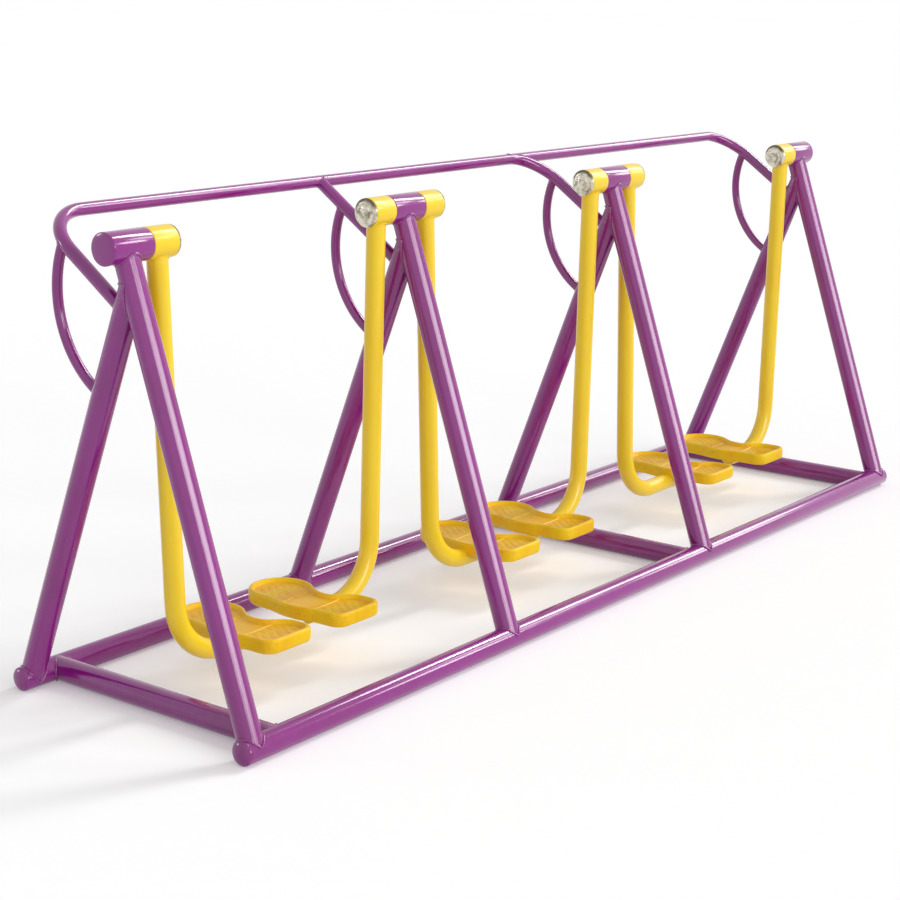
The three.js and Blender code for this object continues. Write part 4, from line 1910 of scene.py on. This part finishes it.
@dataclass
class Footplate:
    """A cast footplate: rounded rim, skirt, two studded pads and the plain band between them."""

    place: np.ndarray
    print_shape: Footprint = Footprint()
    top: float = 0.157
    deck: float = 0.146
    under: float = 0.140
    bottom: float = 0.121
    rim_width: float = 0.0135
    rim_steps: int = 8
    inner_round: tuple[float, float] = (0.0045, 0.0070)
    inner_steepness: float = 1.4
    outer_round: tuple[float, float] = (0.0058, 0.0080)
    skirt_turn: tuple[float, float] = (0.0048, 0.0105)
    skirt_steps: int = 6
    skirt_wall: float = 0.0060
    ridge_sink: float = 0.0012
    ridge_half_width: float = 0.0048
    ridge_half_height: float = 0.0034
    ridge_points: int = 18
    ridge_steps: int = 24
    pad_gap: float = 0.008
    band_front: float = 0.030
    band_back: float = -0.066
    pad_inset: float = 0.0200

    def ring(self, inset: float, height: float) -> np.ndarray:
        """Outline at an inset and a height, in place.

        Args:
            inset: Distance from the edge.
            height: Height of the ring.

        Returns:
            The points, one a row.
        """
        flat = self.print_shape.outline(inset)
        return np.column_stack(
            [flat[:, 0] + self.place[0], flat[:, 1] + self.place[1], np.full(len(flat), height)]
        )

    def section(self) -> list[tuple[float, float]]:
        """Go round the section of the edge, from the deck over the rim and under the deck.

        Returns:
            Inset and height of each ring.
        """
        top, deck, under, bottom, rim = self.top, self.deck, self.under, self.bottom, self.rim_width
        wall = self.skirt_wall
        rows = [(rim + 0.0055, deck), (rim + 0.0036, deck + 0.0004)]
        rows += [(rim + 0.0020, deck + 0.0014), (rim + 0.0008, deck + 0.0030)]
        turns = [math.pi / 2 * step / self.rim_steps for step in range(self.rim_steps + 1)]
        width, height = self.inner_round
        for angle in turns:
            drop = height * (1 - math.sin(angle)) ** self.inner_steepness
            rows.append((rim - width * math.sin(angle), top - drop))
        width, height = self.outer_round
        for angle in turns:
            rows.append((width * (1 - math.sin(angle)), top - height * (1 - math.cos(angle))))
        width, height = self.skirt_turn
        for step in range(self.skirt_steps + 1):
            angle = math.pi / 2 * step / self.skirt_steps
            rows.append((width * (1 - math.cos(angle)), bottom + height * (1 - math.sin(angle))))
        rows += [(wall - 0.0006, bottom + 0.0002), (wall, bottom + 0.0012), (wall, under - 0.0020)]
        rows += [(wall + 0.0008, under - 0.0006), (wall + 0.0024, under)]
        return rows

    def build_casting(self, shell: Shell) -> None:
        """Add the deck, rim and skirt to a shell.

        Args:
            shell: The shell that takes the casting.
        """
        numbers = shell.loft([self.ring(inset, height) for inset, height in self.section()])
        shell.faces.append(tuple(numbers[0]))
        shell.faces.append(tuple(numbers[-1]))

    def build_band(self, shell: Shell, along: float, bow: float) -> None:
        """Add one low ridge across the deck, bowed towards its pad.

        Args:
            shell: The shell that takes the ridge.
            along: Place along the plate.
            bow: How far its middle stands out towards its pad.
        """
        left = self.print_shape.edge(along, -1, self.rim_width)
        right = self.print_shape.edge(along, 1, self.rim_width)
        angles = np.arange(self.ridge_points) * (2 * math.pi / self.ridge_points)
        ring = np.zeros((self.ridge_points, 3))
        ring[:, 1] = self.ridge_half_width * np.cos(angles)
        ring[:, 2] = self.ridge_half_height * np.sin(angles)
        rings = []
        for share in np.linspace(-1, 1, self.ridge_steps + 1):
            middle = np.array([
                self.place[0] + (left + right) / 2 + share * (right - left) / 2,
                self.place[1] + along + bow * (1 - share**2),
                self.deck - self.ridge_sink,
            ])
            rings.append(middle + ring)
        numbers = shell.loft(rings)
        shell.close_ring(numbers[0])
        shell.close_ring(numbers[-1])

    def pads(self) -> list[np.ndarray]:
        """Outlines of the toe and heel pads, inside the rim and clear of the band.

        Returns:
            The two outlines.
        """
        ring = self.ring(self.pad_inset, self.deck)
        along = ring[:, 1] - self.place[1]
        toe = along > self.band_front + self.pad_gap
        heel = along < self.band_back - self.pad_gap
        return [ring[toe], ring[heel]]


@dataclass
class SwingSet:
    """One swing: collar and arm, footplate, bearing and cap nut."""

    station: int
    way: int
    sizes: Machine
    finishes: Finishes
    beads: WeldBeads
    studs: TreadStuds
    segments: int = 48
    collar_segments: int = 64
    bend_steps: int = 30
    collar_bore: float = 0.0260
    collar_bore_edge: float = 0.0006
    collar_edge: float = 0.0026
    collar_bead: float = 0.0026
    plate_bead: float = 0.0024
    seam_lift: float = 0.0006
    seam_steps: int = 24
    stud_sink: float = 0.0012
    toe_bow: float = 0.005
    heel_bow: float = -0.004
    plate_sharp_degrees: float = 50.0

    @property
    def name(self) -> str:
        """Station number and side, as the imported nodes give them."""
        return f"{self.station + 1}_{'left' if self.way > 0 else 'right'}"

    @property
    def body(self) -> str:
        """Name of the body that this swing is."""
        return f"swing_{self.name}"

    @property
    def index(self) -> int:
        """Number of the leg frame that carries this swing."""
        return self.station if self.way > 0 else self.station + 1

    def along_hub(self, place: float) -> np.ndarray:
        """Point on the hub line at a distance from the frame, towards this swing."""
        return self.sizes.hub_centre(self.index) + np.array([self.way * place, 0.0, 0.0])

    def arm_route(self) -> Route:
        """Centre line of the arm, from the collar down and under the plate.

        Returns:
            The route.
        """
        sizes = self.sizes
        top = self.along_hub((sizes.collar_start + sizes.collar_end) / 2)
        drop = sizes.hub_height - sizes.arm_low
        corner = np.array(
            [top[0] + self.way * sizes.arm_tilt * drop, -sizes.arm_lean * drop, sizes.arm_low]
        )
        end = corner.copy()
        end[0] = sizes.plate_x(self.station, self.way) + self.way * sizes.arm_run
        return Route.bent([top, corner, end], sizes.arm_bend, self.bend_steps)

    def plate_place(self) -> np.ndarray:
        """Middle of the footplate."""
        end = self.arm_route().points[-1]
        return end + np.array([-self.way * self.sizes.arm_run, self.sizes.plate_shift, 0.0])

    def build_arm(self) -> None:
        """Build the collar and the arm, with the bead between them."""
        sizes = self.sizes
        collar = RoundBar(
            Route.straight(self.along_hub(sizes.collar_start), self.along_hub(sizes.collar_end)),
            sizes.hub_radius,
        )
        shell = Shell()
        seams = Tube(self.arm_route(), sizes.arm_radius, self.segments, start=collar).build(shell)
        radius = sizes.hub_radius
        corners = [
            (sizes.collar_start, self.collar_bore, self.collar_bore_edge),
            (sizes.collar_start, radius, self.collar_edge),
            (sizes.collar_end, radius, self.collar_edge),
            (sizes.collar_end, self.collar_bore, self.collar_bore_edge),
        ]
        turned(
            shell, eased_profile(corners, loop=True), sizes.hub_centre(self.index), self.way,
            self.collar_segments, loop=True,
        )
        yellow = self.finishes.yellow
        paint = self.finishes.materials[yellow.name]
        self.finishes.mount(shell, f"swing_arm_{self.name}", yellow, self.body)
        bead = self.beads.lay(f"collar_weld_{self.name}", seams, self.collar_bead, paint)
        self.finishes.mount_trim(bead, yellow, self.body)

    def skirt_seam(self, plate: Footplate) -> np.ndarray:
        """Follow the arm's surface where it goes in under the plate's side wall.

        Args:
            plate: The footplate.

        Returns:
            The points, one a row.
        """
        radius = self.sizes.arm_radius + self.seam_lift
        centre = self.arm_route().points[-1]
        low = math.asin((plate.bottom - centre[2]) / radius)
        points = []
        for angle in np.linspace(low, math.pi - low, self.seam_steps + 1):
            y = centre[1] + radius * math.cos(angle)
            edge = plate.print_shape.edge(y - plate.place[1], -self.way)
            x = plate.place[0] + edge - self.way * self.seam_lift
            points.append([x, y, centre[2] + radius * math.sin(angle)])
        return np.array(points)

    def build_plate(self) -> None:
        """Build the footplate with its ridges, studs and weld."""
        plate = Footplate(self.plate_place())
        shell = Shell()
        plate.build_casting(shell)
        plate.build_band(shell, plate.band_front, self.toe_bow)
        plate.build_band(shell, plate.band_back, self.heel_bow)
        tread = self.finishes.tread
        paint = self.finishes.materials[tread.name]
        self.finishes.mount(
            shell, f"footplate_{self.name}", tread, self.body, self.plate_sharp_degrees
        )
        height = plate.deck + self.studs.height / 2 - self.stud_sink
        centre = np.array([plate.place[0], plate.place[1], height])
        studs = self.studs.fill(f"tread_studs_{self.name}", plate.pads(), centre, paint)
        self.finishes.mount_trim(studs, tread, self.body)
        bead = self.beads.lay(
            f"plate_weld_{self.name}", [self.skirt_seam(plate)], self.plate_bead, paint,
            closed=False,
        )
        self.finishes.mount_trim(bead, tread, self.body)

    def build_nut(self) -> None:
        """Build the plated cap nut: a low dome as wide as the collar, with a raised middle."""
        start = self.sizes.nut_start
        radius = self.sizes.nut_radius
        corners = [
            (start, 0.0, 0.0), (start, radius, 0.0008), (start + 0.0030, radius, 0.0022),
            (start + 0.0062, radius * 0.84, 0.0040), (start + 0.0082, radius * 0.62, 0.0030),
            (start + 0.0080, radius * 0.54, 0.0012), (start + 0.0098, radius * 0.46, 0.0020),
            (start + 0.0116, radius * 0.24, 0.0040), (start + 0.0120, 0.0, 0.0),
        ]
        shell = Shell()
        turned(
            shell, eased_profile(corners, 6), self.sizes.hub_centre(self.index), self.way,
            self.collar_segments,
        )
        self.finishes.mount(shell, f"cap_nut_{self.name}", self.finishes.plated)

    def build(self) -> None:
        """Build every piece of the swing."""
        self.build_arm()
        self.build_plate()
        self.build_nut()
        self.finishes.dress_node(f"bearing_{self.name}", self.finishes.ground_steel)


# Stage


@dataclass(frozen=True)
class SoftSun:
    """A wide far lamp, which lights the whole stage evenly."""

    name: str
    toward: tuple[float, float, float]
    strength: float
    spread_degrees: float

    def on_floor(self) -> float:
        """Share of full white that this lamp gives a level white surface."""
        return self.strength * Vector(self.toward).normalized().z / math.pi

    def build(self) -> None:
        """Place the lamp."""
        lamp = bpy.data.lights.new(self.name, "SUN")
        lamp.energy = self.strength
        lamp.angle = math.radians(self.spread_degrees)
        holder = bpy.data.objects.new(self.name, lamp)
        holder.rotation_euler = Vector(self.toward).to_track_quat("Z", "Y").to_euler()
        bpy.context.scene.collection.objects.link(holder)


@dataclass(frozen=True)
class Viewpoint:
    """The photograph's camera, worked out from the machine's straight tubes."""

    place: tuple[float, float, float] = (-4.49474, -3.18996, 1.71890)
    heading: float = 0.9182
    pitch: float = -0.2282
    roll: float = 0.0108
    focal_pixels: float = 1952.31
    middle_x: float = 460.568
    middle_y: float = 423.290
    sensor: float = 36.0
    clip_end: float = 200.0

    def build(self) -> None:
        """Create the camera and make it the scene's own."""
        ahead = Vector((
            math.sin(self.heading) * math.cos(self.pitch),
            math.cos(self.heading) * math.cos(self.pitch),
            math.sin(self.pitch),
        ))
        right = Vector((math.cos(self.heading), -math.sin(self.heading), 0.0))
        up = right.cross(ahead)
        turned_right = right * math.cos(self.roll) + up * math.sin(self.roll)
        turned_up = up * math.cos(self.roll) - right * math.sin(self.roll)
        pose = Matrix((turned_right, turned_up, -ahead)).transposed().to_4x4()
        pose.translation = Vector(self.place)
        lens = bpy.data.cameras.new("viewpoint")
        lens.sensor_width = self.sensor
        lens.lens = self.focal_pixels / PICTURE_SIDE * self.sensor
        lens.shift_x = (PICTURE_SIDE / 2 - self.middle_x) / PICTURE_SIDE
        lens.shift_y = (self.middle_y - PICTURE_SIDE / 2) / PICTURE_SIDE
        lens.clip_end = self.clip_end
        camera = bpy.data.objects.new("viewpoint", lens)
        camera.matrix_world = pose
        bpy.context.scene.collection.objects.link(camera)
        bpy.context.scene.camera = camera


@dataclass(frozen=True)
class LampRow:
    """A row of wide far lamps side by side, which makes one broad streak on a tube."""

    name: str
    towards: tuple[tuple[float, float, float], ...]
    strengths: tuple[float, ...]
    spread_degrees: float

    def lamps(self) -> list[SoftSun]:
        """The lamps of the row.

        Returns:
            One lamp for each direction.
        """
        return [
            SoftSun(f"{self.name}_{number + 1}", toward, strength, self.spread_degrees)
            for number, (toward, strength) in enumerate(zip(self.towards, self.strengths))
        ]


@dataclass
class Studio:
    """Plain pale floor, white surroundings and soft lamps."""

    ambient: float = 0.42
    floor_white: float = 0.86
    floor_reach: float = 60.0
    rows: tuple[LampRow, ...] = (
        LampRow(
            "front_lamp",
            ((-0.26, -0.92, 0.29), (0.02, -0.96, 0.285), (0.30, -0.91, 0.285)),
            (0.38, 0.56, 0.42), 17.0,
        ),
        LampRow(
            "end_lamp",
            ((0.66, -0.12, 0.74), (0.73, -0.14, 0.67), (0.80, -0.16, 0.58), (0.87, -0.15, 0.47)),
            (0.40, 0.28, 0.22, 0.22), 11.0,
        ),
        LampRow("low_end_lamp", ((0.72, -0.42, 0.55), (0.86, -0.36, 0.36)), (0.16, 0.18), 11.0),
        LampRow("corner_lamp", ((0.67, -0.62, 0.41),), (0.24,), 10.0),
        LampRow("back_lamp", ((-0.55, 0.79, 0.14),), (0.18,), 12.0),
        LampRow("wide_fill", ((-0.80, -0.50, 0.35),), (0.30,), 80.0),
    )

    def lamps(self) -> list[SoftSun]:
        """Every lamp of the stage."""
        return [lamp for row in self.rows for lamp in row.lamps()]

    def seen_directly(self, sheet: NodeSheet) -> bpy.types.NodeSocket:
        """Mask of the rays that show the surroundings: camera, mirror and glass rays.

        Args:
            sheet: Sheet of the tree.

        Returns:
            One for those rays and zero for the others.
        """
        rays = sheet.node("ShaderNodeLightPath")
        seen = sheet.math("MAXIMUM", rays.outputs["Is Camera Ray"], rays.outputs["Is Glossy Ray"])
        return sheet.math("MAXIMUM", seen, rays.outputs["Is Transmission Ray"])

    def build_world(self) -> None:
        """White where it is seen, and an even soft light on everything else."""
        world = bpy.data.worlds.new("white_surroundings")
        world.use_nodes = True
        world.node_tree.nodes.clear()
        sheet = NodeSheet(world.node_tree)
        plain = (1.0, 1.0, 1.0)
        light = sheet.node("ShaderNodeBackground", Color=plain, Strength=self.ambient)
        white = sheet.node("ShaderNodeBackground", Color=plain, Strength=1.0)
        mixed = sheet.node("ShaderNodeMixShader", Fac=self.seen_directly(sheet))
        sheet.put(mixed.inputs[1], light.outputs[0])
        sheet.put(mixed.inputs[2], white.outputs[0])
        sheet.node("ShaderNodeOutputWorld", Surface=mixed.outputs[0])
        bpy.context.scene.world = world

    def build_floor(self) -> None:
        """A wide white floor that keeps the machine's soft shadow."""
        reach = self.floor_reach
        mesh = bpy.data.meshes.new("floor")
        corners = [(-reach, -reach, 0.0), (reach, -reach, 0.0), (reach, reach, 0.0)]
        mesh.from_pydata([*corners, (-reach, reach, 0.0)], [], [(0, 1, 2, 3)])
        floor = bpy.data.objects.new("floor", mesh)
        bpy.context.scene.collection.objects.link(floor)
        material, sheet, shader = start_material(
            "white_floor", Base_Color=(self.floor_white,) * 3, Roughness=0.9, Specular_IOR_Level=0.0
        )
        lit = self.ambient + sum(lamp.on_floor() for lamp in self.lamps())
        lift = 1.0 - self.floor_white * lit
        glow = sheet.node(
            "ShaderNodeEmission", Strength=sheet.product(self.seen_directly(sheet), lift)
        )
        both = sheet.node("ShaderNodeAddShader")
        sheet.put(both.inputs[0], shader.outputs[0])
        sheet.put(both.inputs[1], glow.outputs[0])
        out = next(node for node in sheet.tree.nodes if node.type == "OUTPUT_MATERIAL")
        sheet.put(out.inputs["Surface"], both.outputs[0])
        mesh.materials.append(material)

    def build(self) -> None:
        """Build the whole stage."""
        Viewpoint().build()
        self.build_world()
        self.build_floor()
        for lamp in self.lamps():
            lamp.build()
        bpy.context.scene.view_settings.view_transform = "Standard"


def main() -> None:
    """Build the stage and every sub-assembly in order."""
    logging.basicConfig(level=logging.INFO, format="%(name)s: %(message)s")
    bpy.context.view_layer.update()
    Studio().build()
    sizes = Machine()
    finishes = Finishes(SurfaceGroups().build()).build()
    beads = WeldBeads()
    studs = TreadStuds()
    ground = GroundFrame(sizes, finishes)
    ground.build()
    legs = LegFrames(sizes, finishes, ground)
    legs.build()
    handrail = Handrail(sizes, finishes, legs)
    handrail.build()
    Hubs(sizes, finishes).build()
    paint = finishes.materials[finishes.purple.name]
    for name, seams, radius in (
        ("frame_weld_beads", ground.seams + legs.seams, FRAME_BEAD),
        ("handrail_weld_beads", handrail.seams, HANDRAIL_BEAD),
    ):
        finishes.mount_trim(beads.lay(name, seams, radius, paint), finishes.purple, "frame")
    for station in range(STATION_COUNT):
        for way in (1, -1):
            SwingSet(station, way, sizes, finishes, beads, studs).build()


if __name__ == "__main__":
    main()
